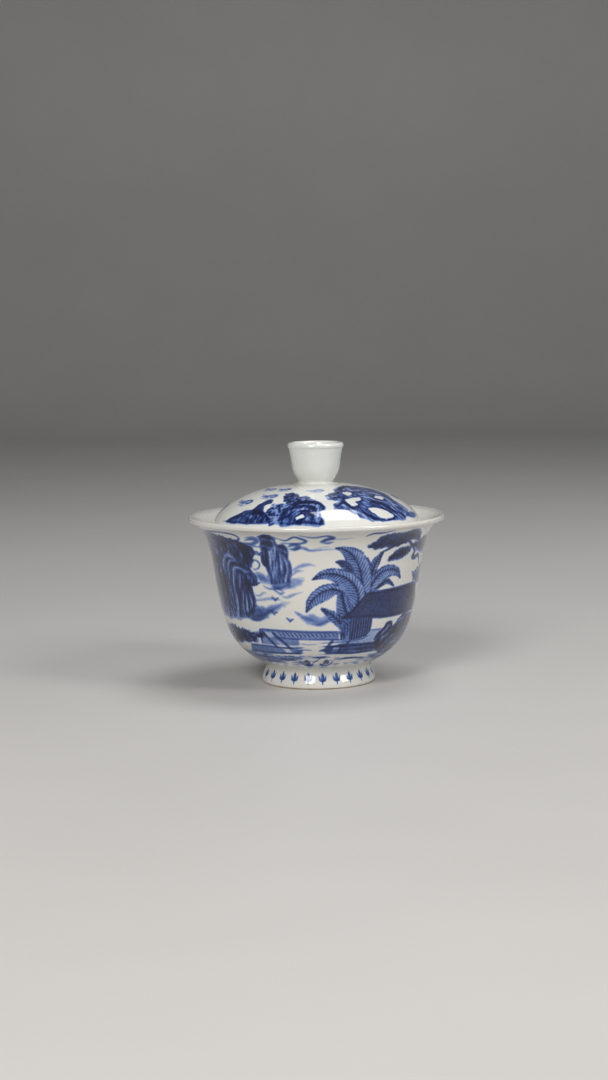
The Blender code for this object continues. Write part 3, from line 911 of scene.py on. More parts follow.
def paint_terrace(ground):
    wash(ground, [(-37.4, 25.0), (12.5, 24.6), (12.5, 21.4), (-12, 22.2), (-12, 19.2), (-38, 19.0)],
         0.34, edge=0.3, opaque=True, ruled=True, grain=0.4)
    stroke(ground, [(-37.6, 25.1), (-20, 25.0), (-4, 24.8), (13, 24.6)], 0.62, 0.95, ends=(0.01, 0.02),
           dry=0.15)
    stroke(ground, [(-28, 22.2), (-12, 21.8), (4, 21.6), (18, 21.2)], 0.5, 0.9, ends=(0.02, 0.02), dry=0.2)
    stroke(ground, [(-37.4, 25), (-37.8, 22), (-38.4, 19)], [0.7, 0.5], 0.9, ends=(0.02, 0.1))
    ruled_area(ground, [(-25, 24.3), (12, 23.9), (12, 22.5), (-22, 22.7)], 0.40, 0.42, 0.45)
    wash(ground, [(-34, 24.2), (-29, 24.1), (-27.4, 22.3), (-32, 22.2)], 0.12, edge=0.3, opaque=True,
         ruled=True)
    wash(ground, [(-27, 20.8), (-22, 20.6), (-20.6, 19.0), (-25, 19.0)], 0.16, edge=0.3, opaque=True,
         ruled=True)
    for left, top, foot, low in (
        (-36.4, 24.6, -25.2, 16.4), (-29.0, 24.4, -16.6, 16.8), (4.6, 17.6, 9.0, 21.2),
        (15, 16.6, 19.4, 20.6),
    ):
        stroke(ground, [(left, top), ((left + foot) / 2, (top + low) / 2), (foot, low)], 0.95, 0.85,
               ends=(0.03, 0.03), dry=0.15)
    walk = [(-50, 18.1), (-18, 17.8), (-10, 17.4), (-12, 15.4), (-30, 15.5), (-54, 15.3)]
    wash(ground, walk, 0.42, edge=0.4, opaque=True, ruled=True, grain=0.4)
    wash(ground, [(-24, 17.8), (-19.6, 17.7), (-17.4, 16.0), (-22, 16.0)], 0.05, edge=0.3, opaque=True,
         ruled=True)
    stroke(ground, [(-50, 18.2), (-34, 18.3), (-22, 18.0), (-9, 18.3)], 0.7, 0.95, ends=(0.1, 0.1), dry=0.15)
    stroke(ground, [(-56, 15.2), (-38, 15.4), (-24, 15.6), (-10, 16.0)], 0.75, 0.95, ends=(0.1, 0.1),
           dry=0.15)
    stroke(ground, [(-12, 20.0), (-6, 19.6), (0, 19.9)], 0.4, 0.5, dry=0.3)
    stroke(ground, [(-14, 17.0), (-8, 17.4), (-4, 17.2)], 0.5, 0.6, dry=0.3)
    deck = [(1, 17.4), (14, 19.8), (44, 19.2), (48, 15.4), (24, 15.0), (6, 15.6)]
    wash(ground, deck, 0.70, edge=0.4, jag=0.15, opaque=True, ruled=True, grain=0.5)
    ripples(ground, 2, 44, 15.4, 19.0, 46, 0.8, 12)
    wash(ground, [(9.8, 18.4), (14, 18.4), (12.6, 16.6), (8.6, 16.6)], 0.2, edge=0.4, opaque=True, ruled=True)
    for level, heavy in ((20.4, 0.9), (18.9, 0.8), (17.2, 0.9), (15.6, 0.9)):
        stroke(ground, [(0, level - 0.2), (14, level), (30, level - 0.2), (46, level - 0.6)],
               [0.3, 0.6, 0.7, 0.4], heavy, dry=0.3)
    stroke(ground, [(0, 16.8), (4, 17.0), (8, 16.8)], 0.4, 0.8)


# %% Pines, rocks and boats
def paint_right_side(ground):
    stroke(ground, [(23.4, 61.0), (27, 62.0), (32, 62.0), (39, 62.6)], [0.6, 0.9, 0.5], 1.2, dry=0.15)
    pad = [(26.6, 57.2), (29, 58.6), (33, 60.6), (39, 61.4), (46, 61.2), (52, 62.0), (59, 61.4),
           (64, 58.8), (63, 57.2), (57, 57.8), (50, 57.2), (44, 55.8), (36, 56.2), (31, 55.6)]
    wash(ground, pad, 1.1, edge=0.5, jag=0.5, rough="fine", grain=0.3)
    for azimuth, level, wide, high in (
        (30, 56.2, 3.5, 1.4), (37, 57.0, 4.5, 2.6), (44, 57.0, 5, 2.8), (51, 58.4, 5, 2.4),
        (58, 58.2, 4.5, 2.0),
    ):
        needles(ground, azimuth, level, wide, high, 34, 0.9, int(azimuth))
    low_pad = [(39.2, 50.6), (42, 53.0), (46, 54.8), (52, 55.4), (57.4, 54.6), (55, 52.2), (49, 51.0)]
    wash(ground, low_pad, 1.0, edge=0.5, jag=0.5, rough="fine", grain=0.3)
    for azimuth, level, wide, high in ((43, 51.0, 3.2, 1.6), (48, 51.8, 4, 2.0), (53, 52.6, 3.6, 1.8)):
        needles(ground, azimuth, level, wide, high, 26, 0.9, int(azimuth))
    for path, width in (
        ([(33, 54.0), (38, 55.0), (43, 56.4), (48, 57.2), (52, 56.6)], [0.5, 1.0, 0.9]),
        ([(44, 56.0), (52, 57.4), (56, 56.2), (60, 54.6), (62.6, 52.4), (60.8, 50.8), (64, 50.2),
          (68, 50.8), (71, 49.6), (73, 47)], [0.7, 1.2, 1.5, 1.6, 1.0]),
        ([(56, 55.6), (62, 55.4), (68, 54.2), (76, 54.6)], [0.8, 1.4, 1.6]),
        ([(40, 50.2), (44, 52.0), (50, 53.2), (57, 54.8)], [0.4, 0.9, 0.9]),
    ):
        stroke(ground, path, width, 1.3, dry=0.12)
    far_pad = [(61, 54.8), (66, 56.8), (76, 58), (90, 58), (96, 54), (90, 51), (76, 51.4), (68, 52.6)]
    wash(ground, far_pad, 0.7, edge=0.8, jag=0.8, rough="fine")
    for azimuth, level in (
        (65, 55.2), (72, 55.8), (79, 56.4), (86, 55.8), (92, 54.4), (70, 52.8), (78, 52.6), (86, 52.4),
    ):
        needles(ground, azimuth, level, 5, 2.2, 46, 0.8, azimuth)
    boulders = [(37.6, 20.8), (40, 23.0), (43.6, 23.8), (45.4, 26.2), (49.4, 26.4), (51.6, 24.4),
                (56, 26.6), (62, 28.4), (74, 27.8), (90, 28), (98, 20), (92, 13), (60, 13.2), (48, 14.4),
                (41, 17.2)]
    rock(ground, boulders, 300, 0.9, 81, 1.2, 2.6, 0.8)
    for path, width, ink in (
        ([(38, 21.0), (42, 23.4), (46, 25.8), (49, 26.2), (51.4, 24.4)], [0.6, 0.9, 0.6], 1.3),
        ([(40, 20), (46, 22.2), (52, 22.4), (58, 25.2), (64, 26.4)], [0.5, 1.1, 0.7], 1.2),
        ([(44, 17.4), (50, 19.4), (58, 19.6), (66, 22.4)], [0.6, 1.2, 0.7], 1.2),
        ([(52, 15), (60, 16.6), (70, 16.4), (80, 19)], [0.6, 1.2, 0.7], 1.2),
    ):
        stroke(ground, path, width, ink, dry=0.15)
    for path in (
        [(41.4, 21.6), (45, 23.2), (48.4, 25.0)],
        [(42.4, 20.0), (48, 21.6), (53, 24.0)],
        [(46.6, 17.6), (53, 20.0), (60, 21.0)],
        [(54, 17.0), (62, 18.0), (68, 20.0)],
        [(53, 25.0), (58, 26.6), (64, 27.4)],
    ):
        stroke(ground, path, [0.5, 1.2, 0.5], 0.14, opaque=True, dry=0.25)
    wash(ground, [(64, 44.6), (70, 43.6), (80, 45.4), (92, 44), (96, 41), (80, 39.4), (68, 40.8)], 0.35,
         edge=0.8, jag=0.9)
    dabs(ground, [(65, 44.5), (78, 46.5), (94, 45), (96, 40.5), (80, 39), (66, 41)], 190, 0.9, 0.8, 5)


def paint_shore(ground):
    bushes = [(-64, 23.6), (-54, 24.0), (-46, 23.6), (-35, 23.0), (-36.4, 21.8), (-41, 21.4),
              (-44, 19.4), (-64, 18.6)]
    wash(ground, bushes, 0.45, edge=0.8, jag=0.8)
    dabs(ground, bushes, 230, 0.9, 0.8, 11)
    bank = [(-78, 14.6), (-50, 14.4), (-34, 14.0), (-18, 13.6), (-30, 11.6), (-50, 10.4), (-78, 11)]
    wash(ground, bank, 0.4, edge=0.9, jag=0.6, rough="broad", fade=((-60, 13, 0.45), (-20, 13, 0.25)))
    ripples(ground, -84, -14, 10.4, 14.8, 110, 0.9, 2)
    ripples(ground, -60, 44, 8.8, 14.2, 52, 0.6, 3)
    ripples(ground, -24, 20, 12.6, 14.6, 16, 0.8, 4)
    for azimuth, way in ((-9.0, 1), (6.0, -1)):
        hull = [(azimuth - 5.2 * way, 11.9), (azimuth - 3.4 * way, 10.5), (azimuth, 10.0),
                (azimuth + 3.4 * way, 10.3), (azimuth + 5.0 * way, 11.2)]
        stroke(ground, hull, [0.4, 1.0, 1.2, 1.0, 0.4], 1.1, ends=(0.1, 0.1))
        awning = [(azimuth - 2.2, 10.8), (azimuth - 1.8, 12.2), (azimuth, 12.9), (azimuth + 1.8, 12.2),
                  (azimuth + 2.2, 10.8)]
        wash(ground, awning, 1.0, edge=0.4, grain=0.5)
        stroke(ground, [(azimuth - 6 * way, 9.2), (azimuth, 8.9), (azimuth + 6 * way, 9.3)],
               [0.3, 0.6, 0.3], 0.5)
    stroke(ground, [(-5.4, 11.4), (-2, 12.2), (1.2, 13.6)], [0.3, 0.5, 0.3], 0.9)
    stroke(ground, [(16, 12.6), (22, 13.2), (34, 12.8), (44, 12.2)], [0.5, 1.1, 0.8, 0.3], 1.1, dry=0.3)
    stroke(ground, [(20, 10.2), (28, 10.8), (36, 10.2)], [0.3, 0.6, 0.2], 0.6, dry=0.3)
    wash(ground, [(38, 13.6), (60, 13.4), (84, 13.6), (84, 10.4), (62, 10.6), (48, 11.8)], 0.4, edge=0.9,
         jag=0.8, rough="broad")
    ripples(ground, 36, 96, 10.0, 14.0, 100, 0.9, 6)


# %% The far side
def paint_far_side(ground):
    for peak, top, wide, seed in ((112, 46, 16, 91), (132, 53, 15, 94), (151, 44, 17, 97)):
        hill = [(peak - wide, 30), (peak - wide * 0.5, (top + 32) / 2), (peak - wide * 0.12, top),
                (peak + wide * 0.2, top - 2), (peak + wide * 0.6, (top + 28) / 2), (peak + wide, 30)]
        wash(ground, hill, 0.42, edge=0.7, jag=0.5, fade=((peak, top, 0.75), (peak, 31, 0.04)))
        hatch(ground, [hill[1], hill[2], hill[3], hill[4], (peak, 34)], 60, 0.5, 4.0, 0.8, 0.5, seed)
        hatch(ground, hill, 30, 0.4, 4.0, 0.6, 0.08, seed + 1, opaque=True)
        stroke(ground, hill[:5], [0.5, 1.2, 0.9, 0.4], 0.9, dry=0.3)
    cliff = [(226, 61.6), (244, 61.4), (264, 61.6), (264, 28), (248, 27), (240, 33), (242, 40),
             (234, 45), (236, 52), (227, 56)]
    rock(ground, cliff, 320, 0.12, 101, 0.7, 5.0, 0.95)
    for azimuth, top, bottom in ((240, 60, 50), (246, 58, 42), (252, 56, 38), (258, 58, 40), (243, 46, 34)):
        stroke(ground, [(azimuth, top), (azimuth + 1, (top + bottom) / 2), (azimuth, bottom)],
               [0.6, 1.6, 0.5], 1.0, dry=0.3)
    stroke(ground, [(196, 20), (197, 28), (193, 34), (196, 41), (191, 47), (193, 52)],
           [2.4, 1.9, 1.5, 1.2, 0.6], 1.1, dry=0.2)
    stroke(ground, [(196.6, 22), (197.4, 28), (193.6, 33.4)], [0.5, 0.7, 0.3], 0.2, dry=0.3, opaque=True)
    stroke(ground, [(194, 35), (186, 38), (180, 37.6), (174, 39.4)], [1.3, 1.0, 0.5], 1.1, dry=0.2)
    stroke(ground, [(195, 41), (203, 44), (210, 43.6), (215, 45)], [1.2, 0.9, 0.5], 1.1, dry=0.2)
    for azimuth, level, wide in (
        (176, 39.6, 7), (184, 42.6, 7), (192, 52.0, 9), (203, 48.6, 8), (212, 45.2, 8), (186, 47.8, 7),
        (198, 55.0, 7),
    ):
        wash(ground, [(azimuth - wide, level), (azimuth, level + 2.6), (azimuth + wide, level),
                      (azimuth, level - 0.5)], 0.8, edge=0.6, jag=0.5, rough="fine")
        needles(ground, azimuth, level, wide, 2.0, 60, 0.8, int(azimuth))
    bank = [(160, 20), (176, 23), (190, 25.4), (204, 24.4), (220, 21.6), (236, 20), (236, 16), (160, 16)]
    rock(ground, bank, 160, 0.8, 104, 0.7, 2.2, 0.8)
    dabs(ground, [(162, 22), (190, 27), (232, 22), (232, 17), (162, 17)], 120, 0.9, 0.6, 17)
    wash(ground, [(96, 29), (120, 30.4), (160, 29.6), (160, 27.6), (124, 27.4), (100, 27.0)], 0.14,
         edge=2.2, jag=0.5)
    for azimuth in (121, 125, 128, 131.4):
        stroke(ground, [(azimuth, 21.2), (azimuth, 18.0)], 0.6, 1.0, ends=(0.02, 0.02))
    hut = [(117.6, 21.0), (134.4, 21.2), (131, 25.0), (121.4, 24.8)]
    wash(ground, hut, 1.1, edge=0.3, opaque=True, ruled=True)
    ruled_area(ground, hut, 0.75, 0.0, -0.6)
    stroke(ground, [(104, 18.2), (118, 17.8), (134, 18.0), (150, 17.6)], [0.5, 0.9, 0.5], 1.0, dry=0.25)
    ripples(ground, 92, 250, 9.0, 17.0, 130, 0.7, 9)
    wash(ground, [(236, 13.6), (262, 14.4), (288, 14.0), (288, 10.8), (262, 10.4)], 0.3, edge=0.9,
         jag=0.8, rough="broad")
    ripples(ground, 234, 284, 10.4, 14.6, 90, 0.9, 14)
    wash(ground, [(262, 22), (270, 24.4), (284, 23.4), (300, 24.6), (300, 18), (262, 17)], 0.40,
         edge=0.9, jag=0.9)
    dabs(ground, [(260, 22), (270, 25), (284, 24), (300, 25), (300, 18), (260, 17)], 330, 0.9, 0.8, 19)
    for azimuth, level in ((142, 57), (148, 39.4), (154, 55.2), (162, 41.6), (168, 35)):
        bird(ground, azimuth, level)
    for azimuth, level, length, way in (
        (100, 58, 12, 1), (122, 59.4, 14, 1), (164, 57.6, 14, -1), (176, 60.2, 12, 1), (224, 50, 11, -1),
        (218, 58, 12, -1), (92, 37, 12, 1),
    ):
        cloud(ground, azimuth, level, length, 1.5, 0.65, way)


bowl_ground = unroll(bowl_wall, "height")
for paint in (paint_cliffs, paint_hanging_rock, paint_sky, paint_far_side, paint_terrace, paint_leaves,
              paint_pavilion, paint_right_side, paint_shore):
    paint(bowl_ground)
print("bowl painted:", bowl_ground["ink"].shape, "deepest ink", round(float(bowl_ground["ink"].max()), 2))

# %% [markdown]
# ## The painting on the lid
#
# The lid has a garden of pierced rock and bushes. It is seen almost edge on, so its marks are laid by
# radius: a level is the distance from the middle.

# %% Lid painting
def pierced_rock(ground, outline, holes, seed, lean, count):
    """A rock worn through by water: dark strokes over a pale wash, and holes left white with a dark
    line round each."""
    wash(ground, outline, 0.40, edge=0.4, jag=0.6, grain=0.5)
    hatch(ground, outline, count, lean, 2.8, 0.75, 0.8, seed)
    hatch(ground, outline, count // 2, lean, 2.4, 0.60, 0.10, seed + 1, opaque=True)
    hatch(ground, outline, count // 3, lean, 2.0, 0.60, 1.0, seed + 2)
    for hole in holes:
        rounded = through([*hole, hole[0]], 4)
        stroke(ground, rounded, 1.3, 1.1, soft=0.4, dry=0.25, ends=(0.02, 0.02))
        wash(ground, rounded, 0.0, edge=0.4, jag=0.4, opaque=True)


def paint_lid(ground):
    for azimuth, level, length, way, ink in (
        (-36, 18, 20, -1, 0.65), (-38, 25.4, 19, -1, 0.75), (-55, 31, 20, -1, 0.75),
        (-58, 19.6, 26, -1, 0.6), (8, 18.6, 22, -1, 0.45), (84, 31, 18, 1, 0.6), (98, 22, 22, 1, 0.6),
        (-84, 36, 18, -1, 0.6),
    ):
        cloud(ground, azimuth, level, length, -1.9, ink, way)
    bush = [(-31, 21.8), (-26, 20.8), (-18, 22.2), (-15, 25.0), (-9, 24.0), (-4, 25.8), (0, 29.0),
            (-10, 31.4), (-22, 29.6), (-27, 26.8)]
    wash(ground, bush, 0.36, edge=0.6, jag=0.8)
    dabs(ground, bush, 150, 1.0, 0.8, 21)
    ground_cover = [(-32, 30.5), (-25, 29.6), (-19, 32), (-17, 38.6), (-27, 38.8), (-33, 36)]
    wash(ground, ground_cover, 0.26, edge=0.6, jag=0.8)
    dabs(ground, ground_cover, 90, 0.9, 0.8, 22)
    swirl = [(-21, 29.4), (-12, 27.6), (-2, 28.2), (3, 29.2), (6, 32.8), (2, 34.4), (4, 38.8),
             (-10, 39.2), (-21, 39.0), (-22, 34)]
    pierced_rock(ground, swirl, [[(-12.6, 36.6), (-8.4, 35.2), (-7, 36.4), (-11.6, 37.8)]], 31, -0.5, 110)
    for path, width, ink in (
        ([(-22, 31.0), (-12, 28.8), (-2, 28.4), (3, 30.2), (5.4, 33)], [0.8, 1.8, 1.7, 1.0], 1.3),
        ([(-20, 37.4), (-13, 34.0), (-5, 34.2), (-1, 38)], [0.8, 1.5, 1.2], 1.2),
        ([(-18, 33.2), (-10, 31.4), (-3, 31.8), (0, 35)], [0.7, 1.3, 0.8], 1.1),
        ([(-17, 38.8), (-6, 38.2), (4, 39)], [0.8, 1.4, 0.8], 1.1),
    ):
        stroke(ground, path, width, ink, soft=0.4, dry=0.2)
    for path in ([(-16, 35.8), (-11, 33.2), (-5, 33.0)], [(-14, 30.6), (-8, 30.0), (-2, 30.4), (1, 32.6)]):
        stroke(ground, path, [0.5, 1.0, 0.5], 0.08, soft=0.4, dry=0.2, opaque=True)
    spire = [(-41.4, 28.4), (-39, 27.0), (-36.6, 27.8), (-35.0, 29.6), (-37.6, 31.0), (-36.6, 33.4),
             (-33.0, 35.6), (-44.6, 35.8), (-43.8, 31)]
    wash(ground, spire, 1.1, edge=0.5, jag=0.5)
    base = [(-59, 38.2), (-53, 36.4), (-50, 34.8), (-43, 34.2), (-36, 34.6), (-30, 36.8), (-28, 38.6),
            (-44, 39.1), (-60, 39.3)]
    rock(ground, base, 60, 0.9, 23, 0.75, 1.6, 0.7)
    stroke(ground, [(-66, 39.3), (-52, 38.9), (-40, 39.4)], [0.3, 0.6, 0.3], 0.9, dry=0.3)
    crag = [(8, 23.6), (14, 21.4), (20, 20.6), (22, 18.0), (28, 16.0), (38, 14.4), (50, 13.0),
            (62, 14.4), (74, 17.5), (82, 23), (78, 28), (71, 31), (72, 36.6), (62, 38.8), (48, 39.0),
            (34, 38.6), (27, 37.4), (20, 34.0), (12, 33.0), (12, 30), (17, 28.4), (10, 27.0)]
    pierced_rock(ground, crag, [[(23, 27.2), (30, 26.6), (37, 26.4), (36, 28.8), (30, 29.4),
                                 (29.8, 31.4), (24, 31.6)], [(34, 33.4), (40, 33.4), (46, 34.8),
            (50.6, 37.8), (42, 38.4), (37, 36.4)], [(52, 27.4), (58, 26.6), (63, 28.6), (56, 30.0)],
                                [(26, 21.6), (34, 20.6), (36, 23.2), (29, 24.4)]], 41, 1.2, 300)
    for path, width, ink in (
        ([(22, 18.8), (32, 17.2), (42, 15.0), (56, 15.0), (68, 18)], 2.2, 1.1),
        ([(8, 24.0), (18, 22.2), (26, 20.0)], 2.0, 1.2),
        ([(10, 26.6), (17, 25.4), (22, 25.8)], 1.6, 1.0),
        ([(38, 20.6), (46, 22.0), (56, 21.4)], 1.6, 1.0),
        ([(13, 32), (20, 29.6), (24, 32.6), (32, 33.0)], 1.6, 1.2),
        ([(40, 31.0), (48, 30.4), (52, 34.2), (56, 38.4)], 2.0, 1.2),
        ([(64, 20), (70, 25.6), (67, 31), (66, 37)], 2.0, 1.0),
        ([(28, 34.4), (33, 37.0), (40, 39.0)], 1.8, 1.2),
    ):
        stroke(ground, path, [width * 0.5, width, width * 0.6], ink, soft=0.4, dry=0.2)
    for path in (
        [(30, 19.4), (40, 17.2), (52, 17.4)],
        [(38, 25.4), (46, 27.4), (50, 31.6)],
        [(22, 33.8), (27, 35.4), (31, 38)],
        [(57, 22), (63, 26), (62, 32), (59, 36)],
        [(40, 24.4), (50, 24.6), (58, 25)],
    ):
        stroke(ground, path, [0.5, 1.2, 0.5], 0.06, soft=0.45, dry=0.25, opaque=True)
    wash(ground, [(62, 38.4), (70, 37.4), (80, 38.4), (72, 39.4)], 0.5, edge=0.5, jag=0.3)


def paint_lid_far_side(ground):
    pile = [(147, 34), (151, 28.4), (156, 26.0), (159, 21.4), (166, 18.6), (173, 20.8), (180, 20.4),
            (186, 17.0), (195, 18.4), (200, 23.6), (207, 26), (205, 30.6), (211, 34.4), (207, 38.6),
            (172, 38.9), (152, 38.4)]
    pierced_rock(ground, pile, [[(161, 26.6), (165, 24.6), (170, 25.6), (171, 28.4), (166, 30.2),
                                 (162, 29.4)], [(182, 31), (187, 29.6), (192, 31.0), (195, 34.0),
            (189, 35.6), (184, 33.8)], [(188, 22.0), (193, 22.6), (192, 24.8), (187, 24.4)]], 51, -1.0,
                 260)
    for path, width in (
        ([(154, 28), (162, 22), (170, 22.6), (178, 23.4)], 1.8),
        ([(158, 34), (168, 32.4), (176, 34), (180, 38)], 1.8),
        ([(196, 22), (201, 28), (199, 35)], 1.8),
        ([(176, 27), (183, 26.4), (190, 28)], 1.5),
    ):
        stroke(ground, path, [width * 0.5, width, width * 0.5], 1.1, soft=0.4, dry=0.25)
    for path in (
        [(156, 31), (164, 32), (172, 29.6)], [(178, 25), (184, 24), (186, 28)],
        [(166, 36.4), (178, 36), (186, 37.6)], [(196, 26), (200, 31), (202, 36)],
    ):
        stroke(ground, path, [0.5, 1.2, 0.5], 0.06, soft=0.45, dry=0.25, opaque=True)
    for outline, seed in (
        ([(108, 37.6), (112, 33.4), (118, 33.0), (121, 28.4), (127, 27.6), (132, 30.0), (139, 29.4),
          (143, 33), (149, 38.6), (112, 38.8)], 52),
        ([(212, 38.6), (214, 34.6), (219, 33), (224, 29.0), (230, 30.6), (233, 34), (241, 34.6),
          (247, 38.6)], 53),
    ):
        wash(ground, outline, 0.28, edge=0.6, jag=0.9)
        dabs(ground, outline, 330, 0.9, 0.8, seed)
    stroke(ground, [(96, 38.8), (150, 39.2), (208, 39.1), (258, 38.8)], [0.3, 0.6, 0.4], 0.8, dry=0.4)
    for azimuth, level, length, way in (
        (118, 20, 16, 1), (230, 21, 16, 1), (250, 27, 14, -1), (106, 26, 14, 1), (150, 13, 24, 1),
    ):
        cloud(ground, azimuth, level, length, -1.7, 0.6, way)


lid_ground = unroll(lid_outside, "radius")
paint_lid(lid_ground)
paint_lid_far_side(lid_ground)
print("lid painted:", lid_ground["ink"].shape)

# %% [markdown]
# ## The band on the foot
#
# A row of small plant sprigs runs round the foot. Each is three leaves that fan up from a short stalk,
# and they stand an even step apart.

# %% Foot painting
SPRIG_STEP = 15
FIRST_SPRIG = 4
SPRIG_LEVEL = 4.3


def sprig(ground, azimuth):
    """Three leaves that fan up from a short stalk."""

    def at(across, up):
        return (azimuth + across, SPRIG_LEVEL + up)

    stroke(ground, [at(0, -2.3), at(0, -0.9)], 0.4, 0.6, soft=0.15, ends=(0.1, 0.02))
    leaves = (
        (at(0.2, 0.6), at(0, 2.3), 1.25),
        (at(-2.3, -0.5), at(-4.1, 1.1), 1.05),
        (at(2.3, -0.5), at(4.1, 1.1), 1.05),
    )
    for middle, tip, width in leaves:
        stroke(ground, [at(0, -1.1), middle, tip], [0.4, width, 0.3], 0.6, soft=0.2, ends=(0.05, 0.4))


foot_ground = unroll(foot_outside[2:], "height")
for index in range(360 // SPRIG_STEP):
    sprig(foot_ground, index * SPRIG_STEP + FIRST_SPRIG)
print("foot painted with", 360 // SPRIG_STEP, "sprigs")

# %% [markdown]
# ## Reading the paintings back onto the pieces
#
# Each vertex of the outside looks up its own azimuth and level on the sheet. The sheet is first
# averaged over about the distance between vertices, or thin strokes would come out as loose dots.
# Averaging twice keeps slanted edges smooth. The results are stored as three attributes that the glaze
# material reads: "cobalt", the pigment depth, and "comb" and "lines" for the ruled areas. The comb is
# not averaged, because a mean of two counts would move the lines.

# %% Sheet to attribute
SKIN_MM = 0.25
PIGMENT_STRENGTH = 1.3
MEAN_ROWS = 4
FRONT_COLUMNS = 4
BACK_COLUMNS = 7
LINE_CELLS = 3


def averaged(sheet, high, wide):
    """A running mean over so many rows and columns, which wraps round the columns."""
    padded = np.pad(sheet, ((high, high), (0, 0)), mode="edge")
    padded = np.pad(padded, ((0, 0), (wide, wide)), mode="wrap")
    total = np.pad(padded, ((1, 0), (1, 0))).cumsum(0, dtype=np.float64).cumsum(1)
    summed = total[high:, wide:] - total[:-high, wide:] - total[high:, :-wide] + total[:-high, :-wide]
    top, left = high - high // 2, wide - wide // 2
    return summed[top : top + sheet.shape[0], left : left + sheet.shape[1]] / (high * wide)


def read_at(sheet, rows, columns):
    """Values between the cells of the sheet, by their distance to the four nearest."""
    r = np.clip(rows, 0, sheet.shape[0] - 1.001)
    r0, c0 = r.astype(int), np.floor(columns).astype(int)
    fr, fc = r - r0, columns - c0
    width = sheet.shape[1]
    top = sheet[r0, c0 % width] * (1 - fc) + sheet[r0, (c0 + 1) % width] * fc
    bottom = sheet[r0 + 1, c0 % width] * (1 - fc) + sheet[r0 + 1, (c0 + 1) % width] * fc
    return top * (1 - fr) + bottom * fr


def twice_averaged(sheet, columns):
    """A mean that counts the middle most, from two running means."""
    return averaged(averaged(sheet, MEAN_ROWS, columns), MEAN_ROWS, columns)


def decorate(piece, ground, by_radius):
    """Stores the pigment depth at each vertex as "cobalt", and the ruled areas as "comb" and "lines"."""
    spots = np.empty(len(piece.data.vertices) * 3)
    piece.data.vertices.foreach_get("co", spots)
    x, y, z = spots.reshape(-1, 3).T / MM
    radius = np.hypot(x, y)
    columns = np.degrees(np.arctan2(x, -y)) * COLUMNS_PER_DEGREE
    rows = row_of(ground, radius if by_radius else z)
    row_index = np.clip(np.round(rows).astype(int), 0, len(ground["level"]) - 1)
    column_index = np.round(columns).astype(int) % ground["ink"].shape[1]
    off = z - ground["height"][row_index] if by_radius else radius - ground["radius"][row_index]
    outside = (np.abs(off) < SKIN_MM) & (rows > 1) & (rows < len(ground["level"]) - 2)
    depth = 1 - np.exp(-PIGMENT_STRENGTH * np.clip(ground["ink"], 0, None))
    front = read_at(twice_averaged(depth, FRONT_COLUMNS), rows, columns)
    back = read_at(twice_averaged(depth, BACK_COLUMNS), rows, columns)
    lines = read_at(averaged(ground["lines"], LINE_CELLS, LINE_CELLS), rows, columns)
    comb = ground["comb"][row_index, column_index]
    for name, values in (("cobalt", np.where(y < 0, front, back)), ("lines", lines), ("comb", comb)):
        layer = piece.data.attributes.new(name, "FLOAT", "POINT")
        layer.data.foreach_set("value", np.where(outside, values, 0).astype(np.float32))
    print(piece.name, "is painted at", int(outside.sum()), "of", len(x), "vertices")


decorate(bowl, bowl_ground, False)
decorate(lid, lid_ground, True)
decorate(foot, foot_ground, False)

# %% [markdown]
# ## Glaze
#
# Fired porcelain is white clay under a film of clear glass. The glass gives a sharp, colourless
# reflection, so the material is a fairly smooth white base with a coat on top. Cobalt sits under the
# glass: thin washes come out pale and cool, and heavy strokes nearly black. The fine ruled lines are
# added to the stored depth first, a noise then breaks it up as the grains of the oxide do, and a colour
# ramp turns it into those colours.

# %% Node helpers
def new_node(tree, kind, **inputs):
    """A shader node with some of its inputs set. An underscore in a name stands for a space."""
    node = tree.nodes.new(kind)
    for socket, value in inputs.items():
        node.inputs[socket.replace("_", " ")].default_value = value
    return node


def noise(tree, place_socket, scale, detail):
    """A noise from 0 to 1, scale cells to the metre."""
    node = new_node(tree, "ShaderNodeTexNoise", Scale=scale, Detail=detail, Roughness=0.6)
    tree.links.new(place_socket, node.inputs["Vector"])
    return node.outputs["Fac"]


def remap(tree, value, low, high, new_low, new_high):
    """Takes the range from low to high onto another, and holds the value at its ends."""
    node = tree.nodes.new("ShaderNodeMapRange")
    tree.links.new(value, node.inputs["Value"])
    for socket, number in zip(("From Min", "From Max", "To Min", "To Max"), (low, high, new_low, new_high)):
        node.inputs[socket].default_value = number
    return node.outputs["Result"]


def math_node(tree, operation, first, second):
    """One sum on two values, each a number or a socket."""
    node = tree.nodes.new("ShaderNodeMath")
    node.operation = operation
    for socket, value in zip(node.inputs, (first, second)):
        if isinstance(value, float):
            socket.default_value = value
        else:
            tree.links.new(value, socket)
    return node.outputs[0]


def blend_colours(tree, share, first, second):
    """The first colour where the share is 0 and the second where it is 1."""
    node = tree.nodes.new("ShaderNodeMix")
    node.data_type = "RGBA"
    for socket, value in zip((node.inputs[0], node.inputs[6], node.inputs[7]), (share, first, second)):
        if isinstance(value, (float, tuple)):
            socket.default_value = value
        else:
            tree.links.new(value, socket)
    return node.outputs[2]


def ramp(tree, value, stops):
    """A colour for each value, from a list of positions and colours."""
    node = tree.nodes.new("ShaderNodeValToRGB")
    elements = node.color_ramp.elements
    while len(elements) < len(stops):
        elements.new(0.5)
    for element, (position, colour) in zip(elements, stops):
        element.position = position
        element.color = (*colour, 1)
    tree.links.new(value, node.inputs["Fac"])
    return node.outputs["Color"]
